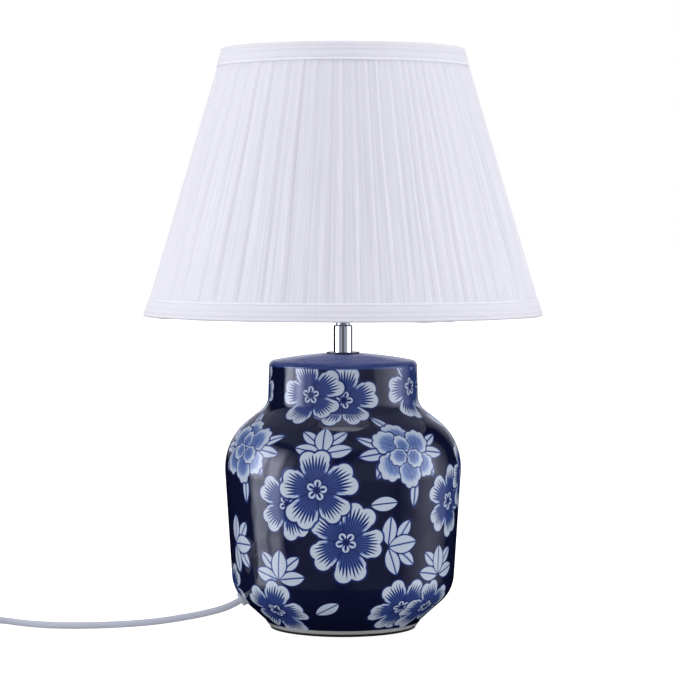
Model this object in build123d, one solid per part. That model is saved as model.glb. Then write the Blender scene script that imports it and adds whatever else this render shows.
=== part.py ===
from build123d import *
import math
import os

# A ceramic table lamp with a pleated empire shade, a screw lampholder and a switched cord.
# Lengths are in millimetres. Z points up along the lamp's axis and the origin is the middle
# of the base, on the table. The front faces -Y and the cord leaves towards -X.

# Base pad and ceramic body, stacked upwards from the table
pad_thickness = 1.8
pad_inset = 1.0
foot_radius = 54.0
foot_height = 2.7
foot_flare = 2.0
foot_edge_round = 0.6
underside_overhang = 3.3
underside_lift = 1.8
knee_overhang = 23.1
knee_rise = 20.8
knee_round = 26.0
wall_flare = 7.0
wall_rise = 109.5
shoulder_round = 44.0
shoulder_rise = 25.5
neck_radius = 54.75
neck_round = 13.0
neck_rise = 31.8
neck_taper = 1.0
rim_round = 3.8
dome_rise = 5.7
dome_knee_inset = 19.75
dome_knee_drop = 2.0
dome_round_share = 0.75
seat_radius = 13.0
ceramic_wall = 5.0
access_radius = 32.0

# Chrome stem and the fasteners that clamp it through the ceramic top
pipe_radius = 5.0
pipe_bore = 3.7
pipe_gap = 0.3
pipe_shown = 2.5
pipe_tail = 5.0
flange_radius = 11.9
flange_thickness = 1.0
flange_edge_round = 0.3
stem_radius = 6.8
stem_length = 19.4
stem_edge_round = 0.7
washer_radius = 11.5
washer_thickness = 1.5
nut_flats = 14.0
nut_thickness = 4.0

# Lampholder
boss_radius = 9.0
boss_height = 4.0
cap_inset = 2.0
cap_cone_rise = 10.0
cap_skirt = 5.0
cap_wall = 2.2
cap_socket = 7.5
thread_gap = 0.05
insulator_overhang = 3.4
insulator_flange_thickness = 1.4
insulator_height = 10.5
holder_gap = 0.2
collar_overhang = 3.75
collar_height = 7.9
barrel_radius = 19.75
barrel_wall = 2.55
barrel_length = 28.0
barrel_lip = 2.0
barrel_lip_gap = 0.6
barrel_groove = 0.5
barrel_pitch = 2.5
shell_bore = 13.4
shell_wall = 0.6
shell_height = 22.5
terminal_offset = 8.5
terminal_radius = 2.2
terminal_length = 5.0
terminal_screw_radius = 1.1
contact_width = 5.0
contact_thickness = 0.5
contact_rise = 1.0
contact_reach = 9.0
contact_bend = 2.25
contact_tip = 3.0

# Ring that clamps the shade on the lampholder
clamp_gap = 0.3
clamp_flange_overhang = 7.25
clamp_flange_thickness = 2.0
clamp_grip_overhang = 4.85
clamp_height = 8.0
clamp_groove_radius = 1.1
clamp_groove_count = 24

# Shade
shade_height = 192.5
shade_bottom_radius = 145.0
shade_top_radius = 88.0
fitter_recess = 22.0
fitter_gap = 1.25
fitter_width = 7.0
fitter_thickness = 1.6
arm_count = 3
arm_start_angle = 90.0
wire_radius = 1.6
liner_thickness = 0.6
cloth_thickness = 0.5
pleat_depth = 1.9
pleat_count = 104
pleat_rise_share = 0.78
pleat_unevenness = 0.3
pleat_waves = [(2.1, 0.0), (0.83, 1.0)]
cloth_gap = 0.2
trim_thickness = 0.8
trim_height = 12.8
trim_lip = 7.0
arm_slot_gap = 0.4

# Bulb
bulb_gap = 0.1
bulb_contact_radius = 4.5
bulb_contact_height = 1.6
bulb_insulator_rise = 3.3
bulb_thread_radius = 13.05
bulb_thread_depth = 0.9
bulb_thread_pitch = 3.63
bulb_thread_turns = 5
bulb_collar_radius = 13.4
bulb_collar_height = 2.4
bulb_cone_rise = 36.0
bulb_radius = 30.0
bulb_drop = 13.6
bulb_wall = 1.6

# Cord and its way out of the ceramic
cord_radius = 2.5
cord_fit = 0.05
bend_run_share = 0.45
core_radius = 1.0
core_offset = 1.2
exit_turn = 190.0
exit_slope = 43.0
exit_tilt = 30.0
grommet_radius = 5.0
grommet_neck = 4.0
grommet_flange = 2.0
grommet_back = 2.0
grommet_fit = 0.1
grommet_round = 0.8
stop_radius = 4.6
stop_length = 7.0

# Switch on the cord
switch_centre_x = -288.0
switch_centre_y = -13.0
switch_length = 60.0
switch_width = 26.0
switch_height = 16.0
switch_split = 6.5
switch_wall = 1.8
switch_corner = 9.0
switch_edge_round = 1.6
rocker_length = 19.0
rocker_width = 10.0
rocker_shoulder = 1.0
rocker_crest = 5.2
rocker_dip = 3.9
rocker_foot = 3.0
rocker_drop = 3.2
rocker_throw = 16.0
rocker_window_gap = 1.3
rocker_side_gap = 0.4
pivot_height = 11.5
pivot_radius = 1.0
pivot_fit = 0.05
pivot_socket = 1.0
switch_screw_radius = 1.2
switch_screw_head = 2.2
switch_screw_head_height = 1.3
switch_screw_length = 9.5
switch_screw_x = 17.0
switch_screw_y = 8.0
switch_post_radius = 2.7
switch_block_length = 6.0
switch_block_width = 8.0
switch_block_height = 4.2
switch_cord_depth = 6.0

# Coil of cord that is put away, and its tie
coil_centre_x = -309.0
coil_centre_y = 48.0
coil_outer_radius = 42.4
coil_pitch = 6.4
coil_layer_rise = 6.3
coil_half_turns = 7
coil_lift = 1.0
coil_lead = 5.0
coil_gap_skip_count = 6
tie_angle = 0.0
tie_thickness = 0.8
tie_width = 8.0
tie_gap = 0.15

# Plug
plug_axis_x = -349.0
plug_relief_y = 93.0
relief_length = 16.0
relief_start_radius = 3.4
relief_end_radius = 4.8
relief_groove = 0.7
relief_groove_count = 5
plug_length = 34.0
plug_width = 35.3
plug_thickness = 13.7
plug_neck_width = 13.0
plug_face_length = 9.0
plug_waist_length = 12.0
plug_corner_round = 2.0
pin_spacing = 18.6
pin_radius = 2.0
pin_length = 19.0
pin_bare = 9.0
sleeve_radius = 1.7
pin_root = 6.0

# Hand-chosen route of the cord: lamp to switch, switch to coil, coil to plug
route_to_switch = [
    (-74.72, -13.18, 20.60),
    (-80.69, -14.23, 17.10),
    (-92.0, -15.0, 13.2),
    (-110.0, -15.3, 9.3),
    (-137.0, -14.8, 5.8),
    (-170.0, -13.7, 3.8),
    (-204.0, -12.7, 2.7),
    (-230.0, -12.8, 3.6),
    (-250.0, -13.0, 6.5),
    (-264.0, -13.0, 6.5),
]
route_to_coil = [
    (-312.0, -13.0, 6.5),
    (-328.0, -13.0, 6.5),
    (-342.7, -4.5, 4.3),
    (-351.1, 10.2, 2.8),
    (-351.4, 28.0, 3.5),
    (-351.4, 43.0, 3.5),
]
route_to_plug = [
    (-348.2, 53.0, 9.8),
    (-348.2, 63.0, 9.8),
    (-348.8, 74.0, 7.6),
    (-349.0, 84.0, 6.85),
    (-349.0, 93.0, 6.85),
]
route_inside = [
    (-74.72, -13.18, 20.60),
    (-49.13, -8.67, 35.60),
    (-28.0, -5.0, 60.0),
    (-15.0, -2.7, 92.0),
    (-5.5, -1.0, 122.0),
    (-0.8, 0.0, 150.0),
    (0.0, 0.0, 178.0),
]

# Heights and radii that follow from the sizes above
foot_top = pad_thickness + foot_height
underside_radius = foot_radius + underside_overhang
underside_z = foot_top + underside_lift
knee_radius = underside_radius + knee_overhang
knee_z = underside_z + knee_rise
shoulder_radius = knee_radius + wall_flare
shoulder_z = knee_z + wall_rise
neck_root_z = shoulder_z + shoulder_rise
rim_z = neck_root_z + neck_rise
body_top = rim_z + dome_rise
flange_top = body_top + flange_thickness
stem_top = flange_top + stem_length
holder_bottom = stem_top + pipe_shown
pipe_top = holder_bottom + cap_socket
cap_top = holder_bottom + boss_height + cap_cone_rise + cap_skirt
collar_top = cap_top + collar_height
barrel_top = collar_top + barrel_length
insulator_top = cap_top + insulator_height
insulator_radius = barrel_radius - barrel_wall - holder_gap
insulator_flange = insulator_radius + insulator_overhang
collar_radius = barrel_radius + collar_overhang
cap_radius = collar_radius - cap_inset
clamp_flange_radius = barrel_radius + clamp_flange_overhang
clamp_grip_radius = barrel_radius + clamp_grip_overhang
fitter_bore = barrel_radius + fitter_gap
fitter_radius = fitter_bore + fitter_width
fitter_z = collar_top
clamp_z = fitter_z + fitter_thickness
shade_z = fitter_z - fitter_recess
shade_top = shade_z + shade_height
shade_slope = (shade_top_radius - shade_bottom_radius) / shade_height
shade_lean = 1 / math.sqrt(1 + shade_slope ** 2)
bulb_z = insulator_top + contact_thickness + contact_rise + bulb_gap
coil_low_z = coil_lift + cord_radius
coil_inner_radius = coil_outer_radius - coil_pitch * coil_half_turns / 2
plug_face_y = plug_relief_y + relief_length + plug_length
plug_z = plug_thickness / 2


def section(points, radii=None):
    """Face in the XZ plane inside (radius, height) corners, each rounded by its own radius."""
    corners = [(r, 0, z) for r, z in points]
    if radii is None:
        return make_face(Polyline(*corners, close=True))
    edge = FilletPolyline(*corners, radius=radii)
    return make_face([edge, Line(corners[-1], corners[0])])


def lathe(points, radii=None):
    """Solid of revolution about Z."""
    return revolve(section(points, radii), Axis.Z)


def ring(inner, outer, bottom, top):
    """Flat ring or tube about Z."""
    return lathe([(inner, bottom), (outer, bottom), (outer, top), (inner, top)])


def disc(radius, bottom, top):
    """Plain cylinder about Z."""
    return Pos(0, 0, (bottom + top) / 2) * Cylinder(radius, top - bottom)


def rod(start, end, radius):
    """Cylinder between two points."""
    axis = Vector(end) - Vector(start)
    return extrude(Plane(origin=start, z_dir=axis) * Circle(radius), axis.length)


def inset(points, distance):
    """Corners of an outline that runs anticlockwise from the axis to the axis, moved inwards."""
    lines = []
    for (r0, z0), (r1, z1) in zip(points, points[1:]):
        length = math.hypot(r1 - r0, z1 - z0)
        along = ((r1 - r0) / length, (z1 - z0) / length)
        lines.append(((r0 - along[1] * distance, z0 + along[0] * distance), along))
    moved = [(0, lines[0][0][1])]
    for (p, u), (q, v) in zip(lines, lines[1:]):
        cross = u[0] * v[1] - u[1] * v[0]
        step = ((q[0] - p[0]) * v[1] - (q[1] - p[1]) * v[0]) / cross
        moved.append((p[0] + u[0] * step, p[1] + u[1] * step))
    moved.append((0, lines[-1][0][1]))
    return moved


def bend_radius(before, here, after, share):
    """Radius of the arc at a corner that takes up a share of its shorter run."""
    turn = math.radians((here - before).get_angle(after - here))
    shorter = min((here - before).length, (after - here).length)
    return share * shorter / math.tan(turn / 2)


def route_radii(route):
    """Largest bend radius that fits at each inner point of a route."""
    points = [Vector(p) for p in route]
    return [bend_radius(*corner, bend_run_share) for corner in zip(points, points[1:], points[2:])]


def cord(name, route, radius):
    """Round tube along straight runs and tangent arcs, with its bends and volume printed."""
    radii = route_radii(route)
    path = FilletPolyline(*route, radius=radii)
    start = Plane(origin=route[0], z_dir=Vector(route[1]) - Vector(route[0]))
    tube = sweep(start * Circle(radius), path=path)
    share = tube.volume / (math.pi * radius ** 2 * path.length)
    print(f"{name}: {path.length:.1f} long, bends {[round(r) for r in radii]}, volume share {share:.4f}")
    return tube


def make_base_pad():
    return disc(foot_radius - pad_inset, 0, pad_thickness)


def body_corners():
    """Main corners of the ceramic's outside, from the foot's plane to the top's middle."""
    slope = knee_rise / knee_overhang
    foot_corner = underside_radius - (underside_z - pad_thickness) / slope
    return [
        (0, pad_thickness),
        (foot_corner, pad_thickness),
        (knee_radius, knee_z),
        (shoulder_radius, shoulder_z),
        (neck_radius, neck_root_z),
        (neck_radius - neck_taper, rim_z),
        (neck_radius - neck_taper - dome_knee_inset, body_top - dome_knee_drop),
        (seat_radius, body_top),
        (0, body_top),
    ]


def exit_frame():
    """Plane on the ceramic's lower curve where the cord comes out, with Z along the cord."""
    foot_corner, knee, shoulder = body_corners()[1:4]
    low = math.atan2(knee[1] - foot_corner[1], knee[0] - foot_corner[0])
    high = math.atan2(shoulder[1] - knee[1], shoulder[0] - knee[0])
    reach = knee_round / math.cos((high - low) / 2)
    inward = (low + high) / 2 + math.pi / 2
    centre = (knee[0] + reach * math.cos(inward), knee[1] + reach * math.sin(inward))
    slope = math.radians(exit_slope)
    radius = centre[0] + knee_round * math.cos(slope)
    height = centre[1] - knee_round * math.sin(slope)
    turn = math.radians(exit_turn)
    tilt = math.radians(exit_tilt)
    origin = (radius * math.cos(turn), radius * math.sin(turn), height)
    axis = (math.cos(turn) * math.cos(tilt), math.sin(turn) * math.cos(tilt), -math.sin(tilt))
    return Plane(origin=origin, z_dir=axis)


def make_ceramic_body():
    main = body_corners()
    foot = [(0, pad_thickness), (foot_radius, pad_thickness), (foot_radius + foot_flare, foot_top)]
    outside = foot + [(underside_radius, underside_z)] + main[2:]
    foot_rounds = [foot_edge_round, 0, foot_edge_round]
    rim, dome_knee, seat = [Vector(r, 0, z) for r, z in main[5:8]]
    dome_round = bend_radius(rim, dome_knee, seat, dome_round_share)
    body = lathe(outside, foot_rounds + [knee_round, shoulder_round, neck_round, rim_round, dome_round, 0])
    inner_knee = knee_round - ceramic_wall
    inner_shoulder = shoulder_round - ceramic_wall
    inner_neck = neck_round + ceramic_wall
    inner_dome = dome_round - ceramic_wall
    body -= lathe(inset(main, ceramic_wall), [0, inner_knee, inner_shoulder, inner_neck, 0, inner_dome, 0])
    body -= disc(access_radius, 0, pad_thickness + 2 * ceramic_wall)
    body -= disc(pipe_radius + pipe_gap, body_top - 2 * ceramic_wall, body_top + ceramic_wall)
    body -= exit_frame() * Cylinder(grommet_neck + grommet_fit, 4 * ceramic_wall)
    return body


def make_grommet(body):
    bore = cord_radius + cord_fit
    back = -ceramic_wall / math.cos(math.radians(exit_slope - exit_tilt)) - grommet_back
    sleeve = lathe([(bore, back), (grommet_neck, back), (grommet_neck, 0), (bore, 0)])
    low = -ceramic_wall / 2
    flange = lathe(
        [(bore, low), (grommet_radius, low), (grommet_radius, grommet_flange), (bore, grommet_flange)],
        [0, grommet_round],
    )
    whole = exit_frame() * (sleeve + flange)
    return (whole - body).solids().sort_by(SortBy.VOLUME)[-1]


def make_cord_stop():
    """Clamp on the cord behind the grommet, which keeps a pull off the terminals."""
    back = -ceramic_wall / math.cos(math.radians(exit_slope - exit_tilt)) - grommet_back
    return exit_frame() * ring(cord_radius + cord_fit, stop_radius, back - stop_length, back)


def make_fasteners():
    """Pieces that clamp the stem through the ceramic top, from the pipe down to the nut."""
    under = body_top - ceramic_wall
    bore = pipe_radius + thread_gap
    rubber_bottom = under - washer_thickness
    steel_bottom = rubber_bottom - washer_thickness
    nut_bottom = steel_bottom - nut_thickness
    nut = extrude(RegularPolygon(nut_flats / 2, 6, major_radius=False), nut_thickness)
    return {
        "threaded_pipe": ring(pipe_bore, pipe_radius, nut_bottom - pipe_tail, pipe_top),
        "rubber_washer": ring(bore, washer_radius, rubber_bottom, under),
        "steel_washer": ring(bore, washer_radius, steel_bottom, rubber_bottom),
        "hex_nut": Pos(0, 0, nut_bottom) * nut - disc(bore, nut_bottom, steel_bottom),
    }


def make_stem_flange():
    bore = pipe_radius + pipe_gap
    return lathe(
        [(bore, body_top), (flange_radius, body_top), (flange_radius, flange_top), (bore, flange_top)],
        [flange_edge_round, flange_edge_round],
    )


def make_stem_tube():
    bore = pipe_radius + pipe_gap
    return lathe(
        [(bore, flange_top), (stem_radius, flange_top), (stem_radius, stem_top), (bore, stem_top)],
        [0, stem_edge_round],
    )


def make_holder_cap():
    bore = pipe_radius + thread_gap
    cone_top = holder_bottom + boss_height + cap_cone_rise
    return lathe([
        (bore, holder_bottom),
        (boss_radius, holder_bottom),
        (boss_radius, holder_bottom + boss_height),
        (cap_radius, cone_top),
        (cap_radius, cap_top),
        (cap_radius - cap_wall, cap_top),
        (cap_radius - cap_wall, cone_top + cap_wall / 2),
        (boss_radius - cap_wall / 2, pipe_top),
        (bore, pipe_top),
    ])


def make_holder_barrel():
    """Outer sleeve: a collar that carries the shade, then a threaded skirt around the bulb cap."""
    bore = insulator_radius + holder_gap
    recess = insulator_flange + holder_gap
    recess_top = cap_top + insulator_flange_thickness + holder_gap
    outline = [
        (recess, cap_top),
        (collar_radius, cap_top),
        (collar_radius, collar_top),
        (barrel_radius - barrel_groove, collar_top),
    ]
    thread_count = int((barrel_length - 2 * barrel_pitch) / barrel_pitch)
    for turn in range(thread_count):
        height = collar_top + barrel_pitch * (turn + 1)
        outline.append((barrel_radius - barrel_groove, height))
        outline.append((barrel_radius, height + barrel_pitch / 4))
        outline.append((barrel_radius, height + barrel_pitch / 2))
        outline.append((barrel_radius - barrel_groove, height + 3 * barrel_pitch / 4))
    mouth = shell_bore + shell_wall + barrel_lip_gap
    outline += [
        (barrel_radius - barrel_groove, barrel_top),
        (mouth, barrel_top),
        (mouth, barrel_top - barrel_lip),
        (bore, barrel_top - barrel_lip),
        (bore, recess_top),
        (recess, recess_top),
    ]
    return lathe(outline)


def make_insulator():
    flange_height = cap_top + insulator_flange_thickness
    return lathe([
        (0, cap_top),
        (insulator_flange, cap_top),
        (insulator_flange, flange_height),
        (insulator_radius, flange_height),
        (insulator_radius, insulator_top),
        (0, insulator_top),
    ])


def make_thread_shell():
    return ring(shell_bore, shell_bore + shell_wall, insulator_top, insulator_top + shell_height)


def make_centre_contact():
    """Springy tongue under the bulb's tip."""
    low = insulator_top
    tip = low + contact_rise
    profile = [
        (-contact_reach, low),
        (-contact_bend, low),
        (contact_tip, tip),
        (contact_tip, tip + contact_thickness),
        (-contact_bend, low + contact_thickness),
        (-contact_reach, low + contact_thickness),
    ]
    return extrude(section(profile), contact_width / 2, both=True)


def make_terminals():
    posts = []
    screws = []
    head = terminal_screw_radius
    middle = cap_top - terminal_length / 2
    for side in (-1, 1):
        x = side * terminal_offset
        posts.append(Pos(x, 0, middle) * Cylinder(terminal_radius, terminal_length))
        start = (x, -terminal_radius - head, middle)
        screws.append(rod(start, (x, 0, middle), terminal_screw_radius))
    posts = [post - screw for post, screw in zip(posts, screws)]
    return {"terminal_posts": Compound(posts), "terminal_screws": Compound(screws)}


def make_inner_wiring():
    """Cord inside the lamp, and its two cores up to the terminals."""
    sheath_top = pipe_top - 2 * cord_radius
    route = route_inside + [(0, 0, sheath_top)]
    wiring = {"inner_cord": cord("inner_cord", route, cord_radius)}
    core_top = cap_top - terminal_length
    for name, side in (("live_core", 1), ("neutral_core", -1)):
        spread = [
            (side * core_offset, 0, sheath_top),
            (side * core_offset, 0, pipe_top + core_radius),
            (side * terminal_offset, 0, core_top - 2 * core_radius),
            (side * terminal_offset, 0, core_top),
        ]
        wiring[name] = cord(name, spread, core_radius)
    return wiring


def make_clamp_ring():
    bore = barrel_radius + clamp_gap
    flange_top_z = clamp_z + clamp_flange_thickness
    clamp_top = clamp_z + clamp_height
    body = lathe([
        (bore, clamp_z),
        (clamp_flange_radius, clamp_z),
        (clamp_flange_radius, flange_top_z),
        (clamp_grip_radius, flange_top_z),
        (clamp_grip_radius, clamp_top),
        (bore, clamp_top),
    ])
    groove = disc(clamp_groove_radius, flange_top_z, clamp_top)
    return body - PolarLocations(clamp_grip_radius, clamp_groove_count) * groove


def shade_radius(height):
    """Outside radius of the shade's trims at a height."""
    return shade_bottom_radius + shade_slope * (height - shade_z)


def cover_inner(height):
    """Radius of the smooth back of the pleated cover."""
    return shade_radius(height) - trim_thickness - 2 * cloth_gap - pleat_depth - cloth_thickness


def liner_outer(height):
    return cover_inner(height) - cloth_gap


def liner_inner(height):
    return liner_outer(height) - liner_thickness


def wire_centre(height):
    """Radius of a wire ring's middle, so that it lies just inside the liner."""
    return liner_inner(height) - (wire_radius + cloth_gap) / shade_lean


def make_shade_liner():
    low = shade_z + trim_thickness + cloth_gap
    high = shade_top - trim_thickness - cloth_gap
    return lathe([
        (liner_inner(low), low),
        (liner_outer(low), low),
        (liner_outer(high), high),
        (liner_inner(high), high),
    ])


def pleat_angles():
    """Angle where each pleat starts, in degrees, with uneven widths."""
    widths = []
    for i in range(pleat_count):
        wave = sum(math.sin(rate * i + start) for rate, start in pleat_waves)
        widths.append(1 + pleat_unevenness * wave)
    total = sum(widths)
    angles = [0.0]
    for width in widths:
        angles.append(angles[-1] + 360 * width / total)
    return angles


def pleat_outline(height, valley, crest):
    """Face inside a ring of folds at one height. With one radius for both it has flat sides."""
    corners = []
    angles = pleat_angles()
    for start, end in zip(angles, angles[1:]):
        peak = start + pleat_rise_share * (end - start)
        for radius, angle in ((valley, start), (crest, peak)):
            turn = math.radians(angle)
            corners.append((radius * math.cos(turn), radius * math.sin(turn), height))
    return make_face(Polyline(*corners, close=True))


def make_pleated_cover():
    low = shade_z + trim_thickness + cloth_gap
    high = shade_top - trim_thickness - cloth_gap
    valley = cover_inner(low) + cloth_thickness
    crest = valley + pleat_depth
    scale = cover_inner(high) / cover_inner(low)
    outside = loft(
        [pleat_outline(low, valley, crest), pleat_outline(high, valley * scale, crest * scale)],
        ruled=True,
    )
    back = [pleat_outline(height, cover_inner(height), cover_inner(height)) for height in (low, high)]
    return outside - loft(back, ruled=True)


def make_trim(edge, direction):
    """Folded band around an edge of the shade. Direction is 1 at the bottom and -1 at the top."""
    floor = edge + direction * trim_thickness
    lip = edge + direction * trim_lip
    outer = edge + direction * trim_height

    def lip_outer(height):
        return liner_inner(height) - 2 * (wire_radius + cloth_gap) / shade_lean

    return lathe([
        (shade_radius(edge), edge),
        (shade_radius(outer), outer),
        (shade_radius(outer) - trim_thickness, outer),
        (shade_radius(floor) - trim_thickness, floor),
        (lip_outer(floor), floor),
        (lip_outer(lip), lip),
        (lip_outer(lip) - trim_thickness, lip),
        (lip_outer(edge) - trim_thickness, edge),
    ])


def make_wire_ring(height):
    return Pos(0, 0, height) * Torus(wire_centre(height), wire_radius)


def make_shade():
    lift = trim_thickness + cloth_gap + wire_radius
    low_ring_z = shade_z + lift
    high_ring_z = shade_top - lift
    bottom_ring = make_wire_ring(low_ring_z)
    fitter_ring = ring(fitter_bore, fitter_radius, fitter_z, fitter_z + fitter_thickness)
    bottom_trim = make_trim(shade_z, 1)
    keep_out = disc(fitter_radius, shade_z, shade_top)
    arms = []
    for i in range(arm_count):
        turn = math.radians(arm_start_angle + 360 * i / arm_count)
        inner = fitter_radius - fitter_thickness
        start = (inner * math.cos(turn), inner * math.sin(turn), fitter_z + fitter_thickness / 2)
        reach = wire_centre(low_ring_z)
        end = (reach * math.cos(turn), reach * math.sin(turn), low_ring_z)
        arms.append(rod(start, end, wire_radius) - keep_out - bottom_ring)
        bottom_trim -= rod(start, end, wire_radius + arm_slot_gap)
    return {
        "shade_liner": make_shade_liner(),
        "pleated_cover": make_pleated_cover(),
        "top_trim": make_trim(shade_top, -1),
        "bottom_trim": bottom_trim,
        "top_ring": make_wire_ring(high_ring_z),
        "bottom_ring": bottom_ring,
        "fitter_ring": fitter_ring,
        "fitter_arms": Compound([arm.solids().sort_by(SortBy.VOLUME)[-1] for arm in arms]),
    }


def make_bulb():
    """Screw-in bulb: tip contact, threaded cap, plastic housing and opal diffuser."""
    tip_top = bulb_z + bulb_contact_height
    thread_bottom = tip_top + bulb_insulator_rise
    root = bulb_thread_radius - bulb_thread_depth
    cap = [(0, tip_top), (bulb_contact_radius, tip_top), (root, thread_bottom)]
    for turn in range(bulb_thread_turns):
        height = thread_bottom + bulb_thread_pitch * turn
        cap.append((bulb_thread_radius, height + bulb_thread_pitch / 3))
        cap.append((bulb_thread_radius, height + 2 * bulb_thread_pitch / 3))
        cap.append((root, height + bulb_thread_pitch))
    thread_top = thread_bottom + bulb_thread_pitch * bulb_thread_turns
    cap.append((0, thread_top))
    collar_z = thread_top + bulb_collar_height
    seam_z = collar_z + bulb_cone_rise
    seam_radius = math.sqrt(bulb_radius ** 2 - bulb_drop ** 2)
    centre_z = seam_z + bulb_drop
    housing = [
        (0, thread_top),
        (bulb_collar_radius, thread_top),
        (bulb_collar_radius, collar_z),
        (seam_radius, seam_z),
        (0, seam_z),
    ]
    globe = Pos(0, 0, centre_z) * (Sphere(bulb_radius) - Sphere(bulb_radius - bulb_wall))
    diffuser = globe - disc(2 * bulb_radius, seam_z - 2 * bulb_radius, seam_z)
    return {
        "bulb_contact": disc(bulb_contact_radius, bulb_z, tip_top),
        "bulb_cap": lathe(cap),
        "bulb_housing": lathe(housing),
        "bulb_diffuser": diffuser,
    }


def switch_box(inner, bottom, top):
    """Round-cornered block of the switch's outline, shrunk by a wall."""
    corner = switch_corner - inner
    outline = RectangleRounded(switch_length - 2 * inner, switch_width - 2 * inner, corner)
    place = Pos(switch_centre_x, switch_centre_y, bottom)
    return place * extrude(outline, top - bottom)


def switch_places():
    """Middles of the two case screws."""
    for side in (-1, 1):
        yield Pos(switch_centre_x + side * switch_screw_x, switch_centre_y + side * switch_screw_y, 0)


def make_rocker():
    """See-saw with its pivot bore, tipped to the off side."""
    half = rocker_length / 2
    profile = [
        (-rocker_foot, -rocker_drop),
        (rocker_foot, -rocker_drop),
        (half, rocker_shoulder),
        (half, rocker_crest),
        (0, rocker_dip),
        (-half, rocker_crest),
        (-half, rocker_shoulder),
    ]
    body = extrude(section(profile), rocker_width / 2, both=True)
    body -= Rot(90, 0, 0) * Cylinder(pivot_radius + pivot_fit, 2 * rocker_width)
    tipped = Rot(0, -rocker_throw / 2, 0) * body
    return Pos(switch_centre_x, switch_centre_y, pivot_height) * tipped


def make_switch():
    case_top = switch_height
    roof = case_top - switch_wall
    lower = switch_box(0, 0, switch_split)
    lower = fillet(lower.faces().sort_by(Axis.Z)[0].edges(), switch_edge_round)
    lower -= switch_box(switch_wall, switch_wall, switch_split)
    upper = switch_box(0, switch_split, case_top)
    upper = fillet(upper.faces().sort_by(Axis.Z)[-1].edges(), switch_edge_round)
    upper -= switch_box(switch_wall, switch_split, roof)
    window_length = rocker_length + 2 * rocker_window_gap
    window_width = rocker_width + 2 * rocker_side_gap
    window = Pos(switch_centre_x, switch_centre_y, roof) * Box(window_length, window_width, 4 * switch_wall)
    upper -= window
    screws = []
    for place in switch_places():
        lower += place * disc(switch_post_radius, switch_wall / 2, switch_split)
        upper += place * disc(switch_post_radius, switch_split, roof + switch_wall / 2)
        head = disc(switch_screw_head, 0, switch_screw_head_height)
        shank = disc(switch_screw_radius, 0, switch_screw_length)
        screw = place * (head + shank)
        screws.append(screw)
        lower -= screw
        upper -= screw
    cord_hole = rod(
        (switch_centre_x - switch_length, switch_centre_y, switch_split),
        (switch_centre_x + switch_length, switch_centre_y, switch_split),
        cord_radius + cord_fit,
    )
    lower -= cord_hole
    upper -= cord_hole
    pin_half = switch_width / 2 - switch_wall + pivot_socket
    pivot_middle = Pos(switch_centre_x, switch_centre_y, pivot_height) * Rot(90, 0, 0)
    upper -= pivot_middle * Cylinder(pivot_radius + pivot_fit, 2 * (pin_half + pivot_fit))
    blocks = []
    for side in (-1, 1):
        face = switch_length / 2 - switch_cord_depth
        middle = switch_centre_x + side * (face - switch_block_length / 2)
        height = switch_wall + switch_block_height / 2
        block = Box(switch_block_length, switch_block_width, switch_block_height)
        blocks.append(Pos(middle, switch_centre_y, height) * block)
    return {
        "switch_lower_case": lower,
        "switch_upper_case": upper,
        "switch_rocker": make_rocker(),
        "rocker_pin": pivot_middle * Cylinder(pivot_radius, 2 * pin_half),
        "switch_contacts": Compound(blocks),
        "switch_screws": Compound(screws),
    }


def coil_stations():
    """Points and headings at each half turn: in on the lower layer, out on the upper one."""
    stations = []
    for i in range(2 * coil_half_turns + 1):
        climbed = i > coil_half_turns
        steps_out = i - coil_half_turns - 1 if climbed else coil_half_turns - i
        radius = coil_inner_radius + steps_out * coil_pitch / 2
        height = coil_low_z + coil_layer_rise if climbed else coil_low_z
        side = -1 if i % 2 == 0 else 1
        point = Vector(coil_centre_x + side * radius, coil_centre_y, height)
        stations.append((point, Vector(0, -side, 0)))
    return stations


def half_turn(start, end):
    """Two tangent arcs that join two points with opposite headings."""
    (p, heading), (q, last_heading) = start, end
    reach = (q - p).length / 2
    middle = (p + heading * reach + q - last_heading * reach) * 0.5
    first = TangentArc(p, middle, tangent=heading)
    second = TangentArc(middle, q, tangent=first % 1)
    return [first, second]


def make_coil():
    """One unbroken tube, wound inwards on the table and outwards on top of that."""
    stations = coil_stations()
    lead = Vector(0, coil_lead, 0)
    edges = [Line(stations[0][0] - lead, stations[0][0])]
    for start, end in zip(stations, stations[1:]):
        edges += half_turn(start, end)
    edges.append(Line(stations[-1][0], stations[-1][0] + lead))
    path = Wire([edge for item in edges for edge in item.edges()])
    start = Plane(origin=path @ 0, z_dir=path % 0)
    tube = sweep(start * Circle(cord_radius), path=path)
    print(f"cord_coil: {path.length:.1f} long, least gap to itself {coil_gap(path):.2f}")
    share = tube.volume / (math.pi * cord_radius ** 2 * path.length)
    print(f"cord_coil: volume share {share:.4f}")
    return tube


def coil_gap(path):
    """Least clear distance between turns, measured on points along the coil."""
    count = int(path.length / cord_radius)
    points = [path @ (i / count) for i in range(count + 1)]
    least = path.length
    for i, point in enumerate(points):
        for other in points[i + coil_gap_skip_count:]:
            least = min(least, (point - other).length)
    return least - 2 * cord_radius


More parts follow.
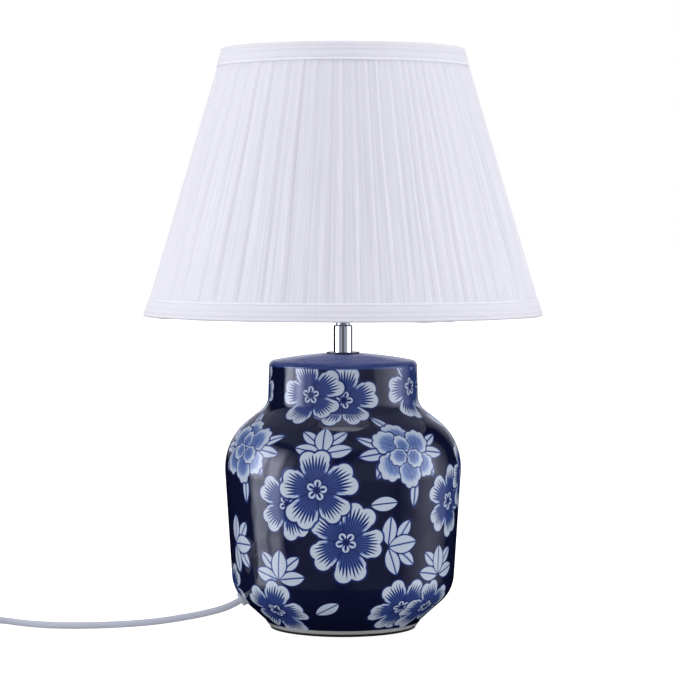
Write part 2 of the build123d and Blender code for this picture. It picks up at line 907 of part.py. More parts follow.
def make_coil_tie():
    """Flat strap around the bundle of turns."""
    low = coil_low_z - cord_radius - tie_gap
    high = coil_low_z + coil_layer_rise + cord_radius + tie_gap
    near = math.sqrt((coil_inner_radius - cord_radius) ** 2 - (tie_width / 2) ** 2) - tie_gap
    far = coil_outer_radius - coil_pitch / 2 + cord_radius + tie_gap
    outer = section([
        (near - tie_thickness, low - tie_thickness),
        (far + tie_thickness, low - tie_thickness),
        (far + tie_thickness, high + tie_thickness),
        (near - tie_thickness, high + tie_thickness),
    ])
    hole = section([(near, low), (far, low), (far, high), (near, high)])
    band = extrude(outer, tie_width / 2, both=True) - extrude(hole, tie_width, both=True)
    return Pos(coil_centre_x, coil_centre_y, 0) * Rot(0, 0, tie_angle) * band


def make_plug():
    """Flat two-pin plug with a ribbed strain relief, lying along Y."""
    back = plug_relief_y + relief_length
    waist = back + plug_waist_length
    face_start = plug_face_y - plug_face_length
    half = plug_width / 2
    neck = plug_neck_width / 2
    outline = make_face(Polyline(
        (-neck, back), (neck, back), (neck, waist), (half, face_start),
        (half, plug_face_y), (-half, plug_face_y), (-half, face_start), (-neck, waist), close=True,
    ))
    body = Pos(plug_axis_x, 0, 0) * extrude(outline, plug_thickness)
    body = fillet(body.edges().filter_by(Axis.Z), plug_corner_round)
    rims = body.faces().sort_by(Axis.Z)[0].edges() + body.faces().sort_by(Axis.Z)[-1].edges()
    body = chamfer(rims, plug_corner_round / 2)
    relief = [(0, 0), (relief_start_radius, 0)]
    step = relief_length / (2 * relief_groove_count + 1)
    for i in range(relief_groove_count):
        for edge, depth in ((1, 0), (1, relief_groove), (2, relief_groove), (2, 0)):
            along = step * (2 * i + edge)
            radius = relief_start_radius + (relief_end_radius - relief_start_radius) * along / relief_length
            relief.append((radius - depth, along))
    relief += [(relief_end_radius, relief_length), (0, relief_length)]
    relief_place = Plane(origin=(plug_axis_x, plug_relief_y, plug_z), z_dir=(0, 1, 0))
    body += relief_place * lathe(relief)
    pins = []
    sleeves = []
    for side in (-1, 1):
        x = plug_axis_x + side * pin_spacing / 2
        sleeve_end = plug_face_y + pin_length - pin_bare
        root = (x, plug_face_y - pin_root, plug_z)
        tip = (x, plug_face_y + pin_length, plug_z)
        bare = rod((x, sleeve_end, plug_z), tip, pin_radius)
        tip_edge = bare.edges().sort_by(Axis.Y)[-1]
        bare = chamfer(tip_edge, pin_radius / 3)
        core = rod(root, (x, sleeve_end, plug_z), core_radius)
        pins.append(bare + core)
        sleeve = rod((x, plug_face_y, plug_z), (x, sleeve_end, plug_z), sleeve_radius)
        sleeves.append(sleeve - core)
        body -= core
    return {
        "plug_body": body,
        "plug_pins": Compound(pins),
        "pin_sleeves": Compound(sleeves),
    }


def make_nodes():
    body = make_ceramic_body()
    nodes = {
        "base_pad": make_base_pad(),
        "ceramic_body": body,
        "cord_grommet": make_grommet(body),
        "cord_stop": make_cord_stop(),
        "stem_flange": make_stem_flange(),
        "stem_tube": make_stem_tube(),
        "holder_cap": make_holder_cap(),
        "holder_barrel": make_holder_barrel(),
        "holder_insulator": make_insulator(),
        "thread_shell": make_thread_shell(),
        "centre_contact": make_centre_contact(),
        "clamp_ring": make_clamp_ring(),
        "cord_to_switch": cord("cord_to_switch", route_to_switch, cord_radius),
        "cord_to_coil": cord("cord_to_coil", route_to_coil, cord_radius),
        "cord_coil": make_coil(),
        "coil_tie": make_coil_tie(),
        "cord_to_plug": cord("cord_to_plug", route_to_plug, cord_radius),
    }
    nodes.update(make_fasteners())
    nodes.update(make_terminals())
    nodes.update(make_inner_wiring())
    nodes.update(make_shade())
    nodes.update(make_bulb())
    nodes.update(make_switch())
    nodes.update(make_plug())
    return nodes


os.makedirs("parts", exist_ok=True)
exit_plane = exit_frame()
print("cord leaves at", exit_plane.origin + exit_plane.z_dir * grommet_flange, "heading", exit_plane.z_dir)
print(f"overall height {shade_top:.1f}, lampholder bottom {holder_bottom:.1f}, fitter {fitter_z:.1f}")
for name, shape in make_nodes().items():
    export_step(shape, f"parts/{name}.step")
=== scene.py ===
# %% [markdown]
# # A ceramic table lamp with a pleated shade
# The lamp has a blue and white ginger-jar body, a short chrome stem, a white pleated shade, a screw
# lampholder with its bulb, and a cord with a switch, a tied coil and a flat plug. The exact solids are
# loaded first and stay where they are. Everything that follows either gives a solid its finish or takes
# the place of a solid that cloth or cord can show better.

# %% Load the solids
import math
import bmesh
import bpy
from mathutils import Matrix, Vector


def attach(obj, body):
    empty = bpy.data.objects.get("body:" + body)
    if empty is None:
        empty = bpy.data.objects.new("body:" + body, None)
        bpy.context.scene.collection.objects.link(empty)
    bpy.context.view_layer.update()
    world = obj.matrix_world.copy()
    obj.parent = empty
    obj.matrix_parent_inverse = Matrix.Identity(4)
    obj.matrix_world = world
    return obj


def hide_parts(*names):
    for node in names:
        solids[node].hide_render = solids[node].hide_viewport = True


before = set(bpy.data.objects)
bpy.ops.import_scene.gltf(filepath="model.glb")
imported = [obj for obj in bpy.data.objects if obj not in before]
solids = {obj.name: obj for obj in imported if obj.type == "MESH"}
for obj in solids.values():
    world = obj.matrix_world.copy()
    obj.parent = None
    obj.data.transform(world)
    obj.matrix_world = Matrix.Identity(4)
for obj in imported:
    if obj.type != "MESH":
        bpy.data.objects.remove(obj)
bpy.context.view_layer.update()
MM = 0.001

# %% [markdown]
# ## The camera
# The photograph was taken from well back with a long lens, a little above the middle of the lamp and
# tipped down slightly. A long lens far away keeps the two rims of the shade almost flat, which is what
# the picture shows, so the lens is chosen first and the distance follows from the lamp's height.

# %% Place the camera
CAMERA_LENS_MM, CAMERA_SENSOR_MM = 137.6, 36
CAMERA_PLACE = (-0.0022, -1.8896, 0.2954)
CAMERA_TIP_DEG = 2.614
camera_data = bpy.data.cameras.new("camera")
camera_data.sensor_width = CAMERA_SENSOR_MM
camera_data.lens = CAMERA_LENS_MM
camera = bpy.data.objects.new("camera", camera_data)
camera.location = CAMERA_PLACE
camera.rotation_euler = (math.radians(90 - CAMERA_TIP_DEG), 0, 0)
bpy.context.scene.collection.objects.link(camera)
bpy.context.scene.camera = camera
bpy.context.scene.view_settings.view_transform = "Standard"
print("camera", CAMERA_PLACE, "lens", CAMERA_LENS_MM)

# %% [markdown]
# ## Helpers for pieces
# A piece is a mesh whose place is in its vertices. Most pieces of a lamp are turned, so one helper spins
# a profile once round the lamp's axis. The profile is a few corners in millimetres, and the spin makes
# the faces. Doubles are merged and the normals turned outwards before anything else is done with it.

# %% Helpers that make and finish a mesh
def add_piece(name, bm, body, material, smooth_deg):
    """Turns a bmesh into a piece that rides on a body and takes a material."""
    bmesh.ops.remove_doubles(bm, verts=bm.verts, dist=1e-6)
    bmesh.ops.recalc_face_normals(bm, faces=bm.faces)
    mesh = bpy.data.meshes.new(name)
    bm.to_mesh(mesh)
    bm.free()
    mesh.shade_smooth()
    mesh.set_sharp_from_angle(angle=math.radians(smooth_deg))
    mesh.materials.append(material)
    piece = bpy.data.objects.new(name, mesh)
    bpy.context.scene.collection.objects.link(piece)
    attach(piece, body)
    return piece


def spin_profile(profile, steps):
    """Closed ring with the given section, made by spinning the section's edges once round Z."""
    bm = bmesh.new()
    corners = [bm.verts.new((r * MM, 0, z * MM)) for r, z in profile]
    edges = [bm.edges.new(pair) for pair in zip(corners, corners[1:] + corners[:1])]
    bmesh.ops.spin(
        bm, geom=corners + edges, cent=(0, 0, 0), axis=(0, 0, 1),
        angle=2 * math.pi, steps=steps, use_merge=True,
    )
    return bm


print("mesh helpers ready")

# %% [markdown]
# ## Helpers for finishes
# Every finish is a node tree around one Principled shader. Patterns are worked out with Math nodes on
# Object coordinates, so they stay put when the lamp moves. A helper writes one Math node for each step,
# which keeps a long formula readable. Others make soft edges and noise, and build a node group from a
# function that draws it.

# %% Helpers for single nodes
def feed(tree, socket, value):
    """Links a socket to another one, or sets it where the value is a number or a colour."""
    if isinstance(value, bpy.types.NodeSocket):
        tree.links.new(value, socket)
    else:
        socket.default_value = value


def maths(tree):
    """Function that adds one Math node to a tree, with numbers or sockets as its inputs."""
    def step(operation, *values, clamp=False):
        node = tree.nodes.new("ShaderNodeMath")
        node.operation = operation
        node.use_clamp = clamp
        for socket, value in zip(node.inputs, values):
            feed(tree, socket, value)
        return node.outputs[0]
    return step


def soft_edge(step, distance, soft):
    """1 where a distance is positive and 0 where it is negative, with a soft change."""
    return step("MULTIPLY_ADD", distance, 1 / soft, 0.5, clamp=True)


def past(step, value, limit, soft):
    """1 where a value is above a limit, with a soft change."""
    return soft_edge(step, step("SUBTRACT", value, limit), soft)


def within(step, value, limit, soft):
    """1 where a value is below a limit, with a soft change."""
    return soft_edge(step, step("SUBTRACT", limit, value), soft)


def window(step, value, middle, half, soft):
    """1 near a middle value and 0 further off than half of the width, with a soft change."""
    return within(step, step("ABSOLUTE", step("SUBTRACT", value, middle)), half, soft)


def length(step, x, y):
    """Length of a flat vector."""
    return step("SQRT", step("MULTIPLY_ADD", x, x, step("MULTIPLY", y, y)))


def scaled(tree, vector, factor):
    """Vector or colour times a number. Both are values or sockets."""
    node = tree.nodes.new("ShaderNodeVectorMath")
    node.operation = "SCALE"
    feed(tree, node.inputs[0], vector)
    feed(tree, node.inputs["Scale"], factor)
    return node.outputs[0]


def add_noise(tree, place, scale, detail):
    """Noise of 0 to 1 at a place. The scale is a number or a socket."""
    node = tree.nodes.new("ShaderNodeTexNoise")
    node.inputs["Detail"].default_value = detail
    tree.links.new(place, node.inputs["Vector"])
    feed(tree, node.inputs["Scale"], scale)
    return node.outputs["Fac"]


print("node helpers ready")

# %% Helpers for groups and materials
def make_group(name, inputs, outputs, draw, colours=()):
    """Group whose outputs a function works out. Its sockets are numbers, apart from those in colours."""
    group = bpy.data.node_groups.new(name, "ShaderNodeTree")
    for labels, direction in ((inputs, "INPUT"), (outputs, "OUTPUT")):
        for label in labels:
            kind = "NodeSocketColor" if label in colours else "NodeSocketFloat"
            group.interface.new_socket(label, in_out=direction, socket_type=kind)
    given = group.nodes.new("NodeGroupInput").outputs
    result = group.nodes.new("NodeGroupOutput").inputs
    values = draw(group, maths(group), *(given[label] for label in inputs))
    for label, value in zip(outputs, values):
        group.links.new(value, result[label])
    print(name, "group has", len(group.nodes), "nodes")
    return group


def place_group(tree, group, **values):
    """Adds a group to a tree. Values are numbers, colours or sockets, with _ for a space in a name."""
    node = tree.nodes.new("ShaderNodeGroup")
    node.node_tree = group
    for label, value in values.items():
        feed(tree, node.inputs[label.replace("_", " ")], value)
    return node.outputs


def new_material(name, **sockets):
    """Material with one Principled shader, whose constant values are set on its own sockets."""
    material = bpy.data.materials.new(name)
    material.use_nodes = True
    shader = material.node_tree.nodes["Principled BSDF"]
    for label, value in sockets.items():
        shader.inputs[label.replace("_", " ")].default_value = value
    return material, material.node_tree, shader.inputs


def object_place(tree):
    """Object coordinates in millimetres."""
    return scaled(tree, tree.nodes.new("ShaderNodeTexCoord").outputs["Object"], 1 / MM)


def split_up(tree, vector):
    """The three parts of a vector."""
    node = tree.nodes.new("ShaderNodeSeparateXYZ")
    tree.links.new(vector, node.inputs[0])
    return node.outputs


def add_bump(tree, shader, height, depth_mm):
    """Bump from a height of 0 to 1 that stands for a depth in millimetres."""
    bump = tree.nodes.new("ShaderNodeBump")
    bump.inputs["Distance"].default_value = depth_mm * MM
    tree.links.new(height, bump.inputs["Height"])
    tree.links.new(bump.outputs[0], shader["Normal"])


print("material helpers ready")

# %% [markdown]
# ## A skin for moulded and plated parts
# Plastic, rubber and plated metal are never one even colour: they have a fine grain and faint clouds
# from handling. One group mixes two sizes of noise and gives a tinted colour, a roughness and a height.
# Each material places it with its own colour and scale.

# %% Build the skin group
CLOUD_SCALE = 0.06
SKIN_DETAIL = 3
ROUGHNESS_RANGE = 0.3


def draw_skin(tree, step, colour, clouds, roughness, grain):
    """Colour with faint clouds, a roughness that follows them, and the height of a fine grain."""
    place = object_place(tree)
    cloud = step("SUBTRACT", add_noise(tree, place, CLOUD_SCALE, SKIN_DETAIL), 0.5)
    tinted = scaled(tree, colour, step("MULTIPLY_ADD", cloud, clouds, 1.0))
    rougher = step("MULTIPLY_ADD", cloud, ROUGHNESS_RANGE, 1.0)
    height = add_noise(tree, place, grain, SKIN_DETAIL)
    return tinted, step("MULTIPLY", roughness, rougher, clamp=True), height


SKIN = make_group(
    "skin", ["Colour", "Clouds", "Roughness", "Grain"], ["Colour", "Roughness", "Height"], draw_skin,
    colours=["Colour"],
)


def skin_material(name, colour, roughness, clouds, grain, depth_mm, **sockets):
    """Material whose colour, roughness and bump come from the skin group."""
    material, tree, shader = new_material(name, **sockets)
    skin = place_group(
        tree, SKIN, Colour=(*colour, 1), Clouds=clouds, Roughness=roughness, Grain=grain,
    )
    tree.links.new(skin["Colour"], shader["Base Color"])
    tree.links.new(skin["Roughness"], shader["Roughness"])
    add_bump(tree, shader, skin["Height"], depth_mm)
    return material


# %% [markdown]
# ## The stage
# The lamp stands on a white floor in a white room. The camera sees plain white, and the light that falls
# on the lamp is soft and even. Polished chrome and glaze look like whatever stands round them, and in a
# room that is white all over they would turn white too. So reflections see a studio instead: a grey card
# in front with a dark slot in it, a tall soft box at each side, which gives each flank of the jar its
# upright shine, and a dim wall behind with a pale strip low down. It could be built from cards, but a
# formula of direction has softer edges.

# %% Build the studio that reflections see
# A card is its middle, half its width and its soft edge, in degrees. A height is where it starts and its
# soft edge. The other numbers are brightnesses.
FRONT_CARD, FRONT_GREY = (0, 52, 20), 0.32
FRONT_SLOT, SLOT_DARKER = (0, 8, 6), -0.93
SIDE_CARDS, SIDE_WALL = [(-76, 26, 8), (76, 26, 8)], 1.1
SOFT_BOXES = [((-82, 18, 8), 4.6), ((-80, 2.5, 3), -2.2), ((92, 20, 32), 1.6)]
BACK_CARD, BACK_WALL = (180, 28, 16), 0.45
HORIZON_STRIP, HORIZON = (4, 4, 3), 0.2
TABLE_EDGE, WALLS_FROM, WALLS_TO, BACK_FROM = (-4.4, 2), (-14, 16), (28, 24), (2, 8)
CEILING_FROM, CEILING = (55, 30), 0.7


def draw_studio(tree, step):
    """Brightness of the studio in a direction. Angles are in degrees, with 0 towards the camera."""
    x, y, z = split_up(tree, tree.nodes.new("ShaderNodeTexCoord").outputs["Generated"])
    turn = step("DEGREES", step("ARCTAN2", x, step("MULTIPLY", y, -1.0)))
    rise = step("DEGREES", step("ARCSINE", z))
    slot = step("MULTIPLY_ADD", window(step, turn, *FRONT_SLOT), SLOT_DARKER, 1.0)
    walls = step("MULTIPLY", step("MULTIPLY", window(step, turn, *FRONT_CARD), FRONT_GREY), slot)
    above_table = past(step, rise, *TABLE_EDGE)
    for card in SIDE_CARDS:
        side = step("MULTIPLY", window(step, turn, *card), above_table)
        walls = step("MULTIPLY_ADD", side, SIDE_WALL, walls)
    for card, level in SOFT_BOXES:
        walls = step("MULTIPLY_ADD", window(step, turn, *card), level, walls)
    walls = step("MULTIPLY", walls, past(step, rise, *WALLS_FROM))
    walls = step("MULTIPLY", walls, within(step, rise, *WALLS_TO))
    strip = step("MULTIPLY", window(step, rise, *HORIZON_STRIP), HORIZON)
    back = step("MULTIPLY_ADD", past(step, rise, *BACK_FROM), BACK_WALL, strip)
    behind = window(step, step("ABSOLUTE", turn), *BACK_CARD)
    walls = step("MULTIPLY_ADD", behind, back, walls)
    return [step("MULTIPLY_ADD", past(step, rise, *CEILING_FROM), CEILING, walls)]


STUDIO = make_group("studio", [], ["Bright"], draw_studio)

# %% White room
ROOM_FILL, SEEN_WHITE, STUDIO_TINT = (0.60, 0.60, 0.65), (1, 1, 1), (0.94, 0.97, 1.18)
world = bpy.data.worlds.new("white_room")
bpy.context.scene.world = world
world.use_nodes = True
room = world.node_tree
room.nodes.clear()


def add_background(colour):
    """Background shader with one colour."""
    background = room.nodes.new("ShaderNodeBackground")
    background.inputs["Color"].default_value = (*colour, 1)
    return background


seen = add_background(SEEN_WHITE)
mirrored = add_background(STUDIO_TINT)
room.links.new(place_group(room, STUDIO)["Bright"], mirrored.inputs["Strength"])
path = room.nodes.new("ShaderNodeLightPath").outputs
surface = add_background(ROOM_FILL).outputs[0]
for ray, view in (("Is Camera Ray", seen), ("Is Transmission Ray", seen), ("Is Glossy Ray", mirrored)):
    choose = room.nodes.new("ShaderNodeMixShader")
    room.links.new(path[ray], choose.inputs["Fac"])
    room.links.new(surface, choose.inputs[1])
    room.links.new(view.outputs[0], choose.inputs[2])
    surface = choose.outputs[0]
room.links.new(surface, room.nodes.new("ShaderNodeOutputWorld").inputs["Surface"])
print("room fill", ROOM_FILL)

# %% White floor that keeps the shadow
FLOOR_HALF = 6.0
FLOOR_GLOW = 0.72
floor_bm = bmesh.new()
bmesh.ops.create_grid(floor_bm, x_segments=1, y_segments=1, size=FLOOR_HALF)
floor_mesh = bpy.data.meshes.new("floor")
floor_bm.to_mesh(floor_mesh)
floor_bm.free()
floor = bpy.data.objects.new("floor", floor_mesh)
floor.visible_glossy = False
bpy.context.scene.collection.objects.link(floor)
floor_material, floor_tree, floor_shader = new_material(
    "floor_white", Base_Color=(0.9, 0.9, 0.9, 1), Roughness=0.9, Specular_IOR_Level=0.0,
    Emission_Color=(1, 1, 1, 1),
)
floor_step = maths(floor_tree)
floor_path = floor_tree.nodes.new("ShaderNodeLightPath").outputs
floor_seen = floor_step("MAXIMUM", floor_path["Is Camera Ray"], floor_path["Is Transmission Ray"])
floor_tree.links.new(floor_step("MULTIPLY", floor_seen, FLOOR_GLOW), floor_shader["Emission Strength"])
floor_mesh.materials.append(floor_material)
print("floor", 2 * FLOOR_HALF, "m across")

# %% Soft boxes and an overhead panel
# Each panel has its place, aim and size in metres, its watts, and whether reflections see it.
PANELS = {
    "left_box": ((-1.25, -0.20, 0.55), (0, 0, 0.22), (0.45, 1.1), 4.7, False),
    "right_box": ((1.25, -0.26, 0.55), (0, 0, 0.22), (0.40, 1.1), 4.2, False),
    "top_panel": ((0.0, -0.25, 1.75), (0, 0, 0.2), (1.0, 0.8), 4.0, True),
    "front_panel": ((0.0, -2.4, 0.9), (0, 0, 0.25), (1.6, 1.2), 4.8, False),
}
for name, (place, aim, size, watts, reflected) in PANELS.items():
    light = bpy.data.lights.new(name, "AREA")
    light.shape = "RECTANGLE"
    light.size, light.size_y = size
    light.energy = watts
    panel = bpy.data.objects.new(name, light)
    panel.location = place
    panel.rotation_euler = (Vector(aim) - Vector(place)).to_track_quat("-Z", "Y").to_euler()
    panel.visible_glossy = reflected
    bpy.context.scene.collection.objects.link(panel)
print(len(PANELS), "panels")

# %% [markdown]
# ## The cord
# The cord leaves the back of the jar's foot through a grommet, comes down to the table and runs to the
# switch. From the switch it goes on to a coil that is put away just outside the picture, and ends in a
# plug. A cord has one fixed length and no corners, so each run is a single smooth spline over a few
# given points, and the coil's turns are more points of the same spline.

# %% Routes of the cord
CORD_RADIUS = 2.5
LAMP_TO_SWITCH = [
    (-74.72, -13.18, 20.60), (-80.69, -14.23, 17.10), (-92, -15, 13.2), (-110, -15.3, 9.3),
    (-137, -17, 5.2), (-170, -18, 3.2), (-204, -17, 2.7), (-230, -14, 3.6),
    (-250, -13, 6.5), (-264, -13, 6.5),
]
SWITCH_TO_COIL = [
    (-312, -13, 6.5), (-328, -13, 6.5), (-342.7, -4.5, 4.3), (-351.1, 10.2, 2.8),
    (-351.4, 28, 3.5), (-351.4, 43, 3.5),
]
COIL_TO_PLUG = [
    (-348.2, 53, 9.8), (-348.2, 63, 9.8), (-348.8, 74, 7.6), (-349, 84, 6.85), (-349, 93, 6.85),
]
COIL_MIDDLE = (-309, 48)
COIL_INNER = 20.0
COIL_HALF_PITCH = 3.2
COIL_LOW, COIL_HIGH = 3.5, 9.8
HALF_TURNS_IN, HALF_TURNS = 7, 14
POINTS_PER_HALF_TURN = 8


def coil_points():
    """Points of the coil: inwards on the table, half a turn to climb, outwards on top."""
    points = []
    cut_in = 1 / math.cos(math.pi / (2 * POINTS_PER_HALF_TURN))
    for i in range(HALF_TURNS * POINTS_PER_HALF_TURN + 1):
        turn = i / POINTS_PER_HALF_TURN
        inwards = HALF_TURNS_IN - turn
        steps_out = max(inwards, 0.0, turn - HALF_TURNS_IN - 1)
        climb = min(max(turn - HALF_TURNS_IN, 0.0), 1.0)
        radius = (COIL_INNER + steps_out * COIL_HALF_PITCH) * cut_in
        angle = math.pi - math.pi * turn
        points.append((
            COIL_MIDDLE[0] + radius * math.cos(angle),
            COIL_MIDDLE[1] + radius * math.sin(angle),
            COIL_LOW + climb * (COIL_HIGH - COIL_LOW),
        ))
    return points


def add_cord(name, points, radius, material, slot):
    """Round cord on one smooth spline with the points as its controls."""
    curve = bpy.data.curves.new(name, "CURVE")
    curve.dimensions = "3D"
    curve.bevel_depth = radius * MM
    curve.bevel_resolution = 4
    curve.resolution_u = 6
    curve.use_fill_caps = True
    spline = curve.splines.new("NURBS")
    spline.points.add(len(points) - 1)
    for point, place in zip(spline.points, points):
        point.co = (*(x * MM for x in place), 1)
    spline.order_u = 3
    spline.use_endpoint_u = True
    curve.materials.append(material)
    cord = bpy.data.objects.new(name, curve)
    bpy.context.scene.collection.objects.link(cord)
    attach(cord, "lamp")
    return cord


def line_length(cord):
    """Length of a cord's own line in metres."""
    return sum(spline.calc_length() for spline in cord.data.splines)


print("coil has", len(coil_points()), "points")

# %% Lay the cord
CORD_SHEATH = skin_material("cord_sheath", (0.57, 0.59, 0.66), 0.38, clouds=0.06, grain=0.8, depth_mm=0.02)
lamp_cord = add_cord("lamp_cord", LAMP_TO_SWITCH, CORD_RADIUS, CORD_SHEATH, "cord_pvc")
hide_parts("cord_to_switch")
plug_route = SWITCH_TO_COIL + coil_points() + COIL_TO_PLUG
plug_cord = add_cord("plug_cord", plug_route, CORD_RADIUS, CORD_SHEATH, "cord_pvc")
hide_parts("cord_to_coil", "cord_coil", "cord_to_plug")
print("cord runs", round(line_length(lamp_cord), 3), "and", round(line_length(plug_cord), 3), "m")

# %% [markdown]
# ## Cloth
# The shade is covered in thin white polyester. Seen close it has an upright and a crosswise thread, and
# from further away a soft sheen. The threads follow the shade round, so the weave group reads the angle
# and the height of each point and draws two sets of fine waves from them. Threads also lie in bunches,
# which show as fine upright streaks. Low down, where the cloth fans out, the streaks are made stronger,
# as painted shade of the fine creases there.

# %% Build the group for coordinates around the lamp
def draw_round(tree, step):
    """Angle from the front in radians, radius and height in millimetres."""
    x, y, z = split_up(tree, object_place(tree))
    return step("ARCTAN2", x, step("MULTIPLY", y, -1.0)), length(step, x, y), z


ROUND = make_group("round the lamp", [], ["Angle", "Radius", "Height"], draw_round)

# %% Build the weave group
BUNCHES_PER_RADIAN = 72.0
BUNCH_WANDER_PER_MM = 0.008
BUNCH_DETAIL = 4


def draw_weave(tree, step, threads_round, thread_height):
    """Height of a fine weave and a mask of uneven threads, on a surface that goes round the lamp."""
    around = place_group(tree, ROUND)
    warp = step("SINE", step("MULTIPLY", around["Angle"], threads_round))
    climb = step("MULTIPLY", around["Height"], 2 * math.pi)
    weft = step("SINE", step("DIVIDE", climb, thread_height))
    where = tree.nodes.new("ShaderNodeCombineXYZ")
    tree.links.new(step("MULTIPLY", around["Angle"], BUNCHES_PER_RADIAN), where.inputs[0])
    tree.links.new(step("MULTIPLY", around["Height"], BUNCH_WANDER_PER_MM), where.inputs[1])
    uneven = add_noise(tree, where.outputs[0], 1.0, BUNCH_DETAIL)
    return step("MULTIPLY_ADD", step("ADD", warp, weft), 0.25, 0.5), uneven


WEAVE = make_group("weave", ["Threads round", "Thread height"], ["Height", "Uneven"], draw_weave)

# %% Weave the cloth
SHADE_LOW, SHADE_HIGH = 227.4, 419.9
THREADS_ROUND, THREAD_HEIGHT, THREAD_DEPTH = 1900.0, 0.45, 0.03
LINE_SOFT = 0.4


def cloth_material(name, colour, streaks_high, streaks_and_shade_low, lines=()):
    """White woven cloth with thread streaks and painted shade. Lines are (height, half width, extra light).
    """
    material, tree, shader = new_material(
        name, Roughness=0.85, Sheen_Weight=0.25, Sheen_Roughness=0.4, Specular_IOR_Level=0.25,
    )
    weave = place_group(tree, WEAVE, Threads_round=THREADS_ROUND, Thread_height=THREAD_HEIGHT)
    height = place_group(tree, ROUND)["Height"]
    step = maths(tree)
    # The streaks of uneven threads grow stronger low down, where they are painted shade of fine creases.
    down = step("DIVIDE", step("SUBTRACT", SHADE_HIGH, height), SHADE_HIGH - SHADE_LOW)
    streaks = step("MULTIPLY_ADD", down, streaks_and_shade_low - streaks_high, streaks_high)
    bright = step("MULTIPLY_ADD", step("SUBTRACT", weave["Uneven"], 0.5), streaks, 1.0)
    # Each line is a band of painted light where its extra light is above 0, and of painted shade where it
    # is below 0.
    for level, half, extra in lines:
        bright = step("MULTIPLY_ADD", window(step, height, level, half, LINE_SOFT), extra, bright)
    tree.links.new(scaled(tree, colour, bright), shader["Base Color"])
    add_bump(tree, shader, weave["Height"], THREAD_DEPTH)
    return material


# The streaks grow from 0.12 at the top to 0.50 at the bottom, where most of them are painted crease shade.
PLEAT_CLOTH = cloth_material("pleat_cloth", (0.82, 0.82, 0.87), 0.12, 0.50)
print("pleat cloth has", len(PLEAT_CLOTH.node_tree.nodes), "nodes")

# %% [markdown]
# ## The pleated cover
# The cloth is laid in knife pleats: each pleat is a flat band that tucks under its neighbour, and the
# band itself carries finer creases. The folds are not even: some bands are wide and some narrow, on one
# side they turn into round flutes, and under the trims they are pressed flat. A ring of vertices is set
# out along the folds at the bottom and extruded upwards in steps, each step pulled in to the cone of
# the shade. Then the ring goes over the top edge and down behind, so the sheet is closed.

# %% Sizes of the shade
SHADE_LOW_RADIUS, SHADE_HIGH_RADIUS = 145.0, 88.0
PLEATS = 72
PLEAT_UNEVENNESS = 0.2
PLEAT_DEPTH = 1.9
BACK_OFFSET, CREST_OFFSET = -3.6, -1.2
COVER_EDGE = 1.0
COVER_LOW, COVER_HIGH = SHADE_LOW + COVER_EDGE, SHADE_HIGH - COVER_EDGE
COVER_BULGE = 0.7
UNDER_TRIM, PAST_TRIM = 10.5, 15.0
FREE_LEVELS = (0.2, 0.35, 0.5, 0.65, 0.8)
PRESSED = 0.25
WIDE_SIDE, WIDER = math.radians(-160), 0.9
ROUND_SIDE, ROUND_FROM, ROUND_OVER = 0.0, 0.2, 0.5
FLATNESS, FLATNESS_VARIES = 0.84, 0.16
CREASE_DRIFT = 0.035
KNIFE_PLEAT = [
    (0.00, 0.05), (0.08, 0.26), (0.20, 0.40), (0.33, 0.50), (0.36, 0.44), (0.50, 0.56), (0.65, 0.64),
    (0.725, 1.00), (0.79, 0.98), (0.88, 0.66), (0.95, 0.22),
]


def shade_radius(height):
    """Radius of the cone that the shade's trims lie on."""
    share = (height - SHADE_LOW) / (SHADE_HIGH - SHADE_LOW)
    return SHADE_LOW_RADIUS + share * (SHADE_HIGH_RADIUS - SHADE_LOW_RADIUS)


def pleat_starts():
    """Angle where each pleat starts, in radians. Widths are uneven, and largest on one side."""
    widths = []
    for i in range(PLEATS):
        facing = max(math.cos(2 * math.pi * i / PLEATS - WIDE_SIDE), 0.0)
        wave = math.sin(2.1 * i) + math.sin(0.83 * i + 1.0)
        widths.append(1 + WIDER * facing * facing + PLEAT_UNEVENNESS * wave)
    starts = [0.0]
    for width in widths:
        starts.append(starts[-1] + 2 * math.pi * width / sum(widths))
    return starts


def fold_line():
    """Angle and depth share of every fold point: knife pleats that turn into round flutes on one side."""
    starts = pleat_starts()
    for i, (start, end) in enumerate(zip(starts, starts[1:])):
        flatness = FLATNESS + FLATNESS_VARIES * math.sin(2.3 * i)
        facing = math.cos(start - ROUND_SIDE)
        roundness = min(max((facing - ROUND_FROM) / ROUND_OVER, 0.0), 1.0)
        for along, knife in KNIFE_PLEAT:
            flute = 0.5 - 0.5 * math.cos(2 * math.pi * along)
            drift = CREASE_DRIFT * math.sin(3.1 * i + 9 * along) * math.sin(math.pi * along)
            rise = knife * flatness + (flute - knife * flatness) * roundness
            yield start + (along + drift) * (end - start), rise


print("pleats from", COVER_LOW, "to", COVER_HIGH, "mm")

# %% Fold the cover
def extrude_ring(bm, edges):
    """Extrudes a ring of edges and gives the new ring's edges and vertices."""
    made = bmesh.ops.extrude_edge_only(bm, edges=edges)["geom"]
    verts = [g for g in made if isinstance(g, bmesh.types.BMVert)]
    inside = set(verts)
    ring = [g for g in made if isinstance(g, bmesh.types.BMEdge) and set(g.verts) <= inside]
    return ring, verts


def fullness(height):
    """0 under a trim, which presses the pleats flat, and 1 where they stand free."""
    from_end = min(height - COVER_LOW, COVER_HIGH - height)
    return min(max((from_end - UNDER_TRIM) / (PAST_TRIM - UNDER_TRIM), 0.0), 1.0)


def crest_radius(height):
    """Radius of the pleats' crests, which fill out a little once they are past the trims."""
    return shade_radius(height) + CREST_OFFSET + COVER_BULGE * fullness(height)


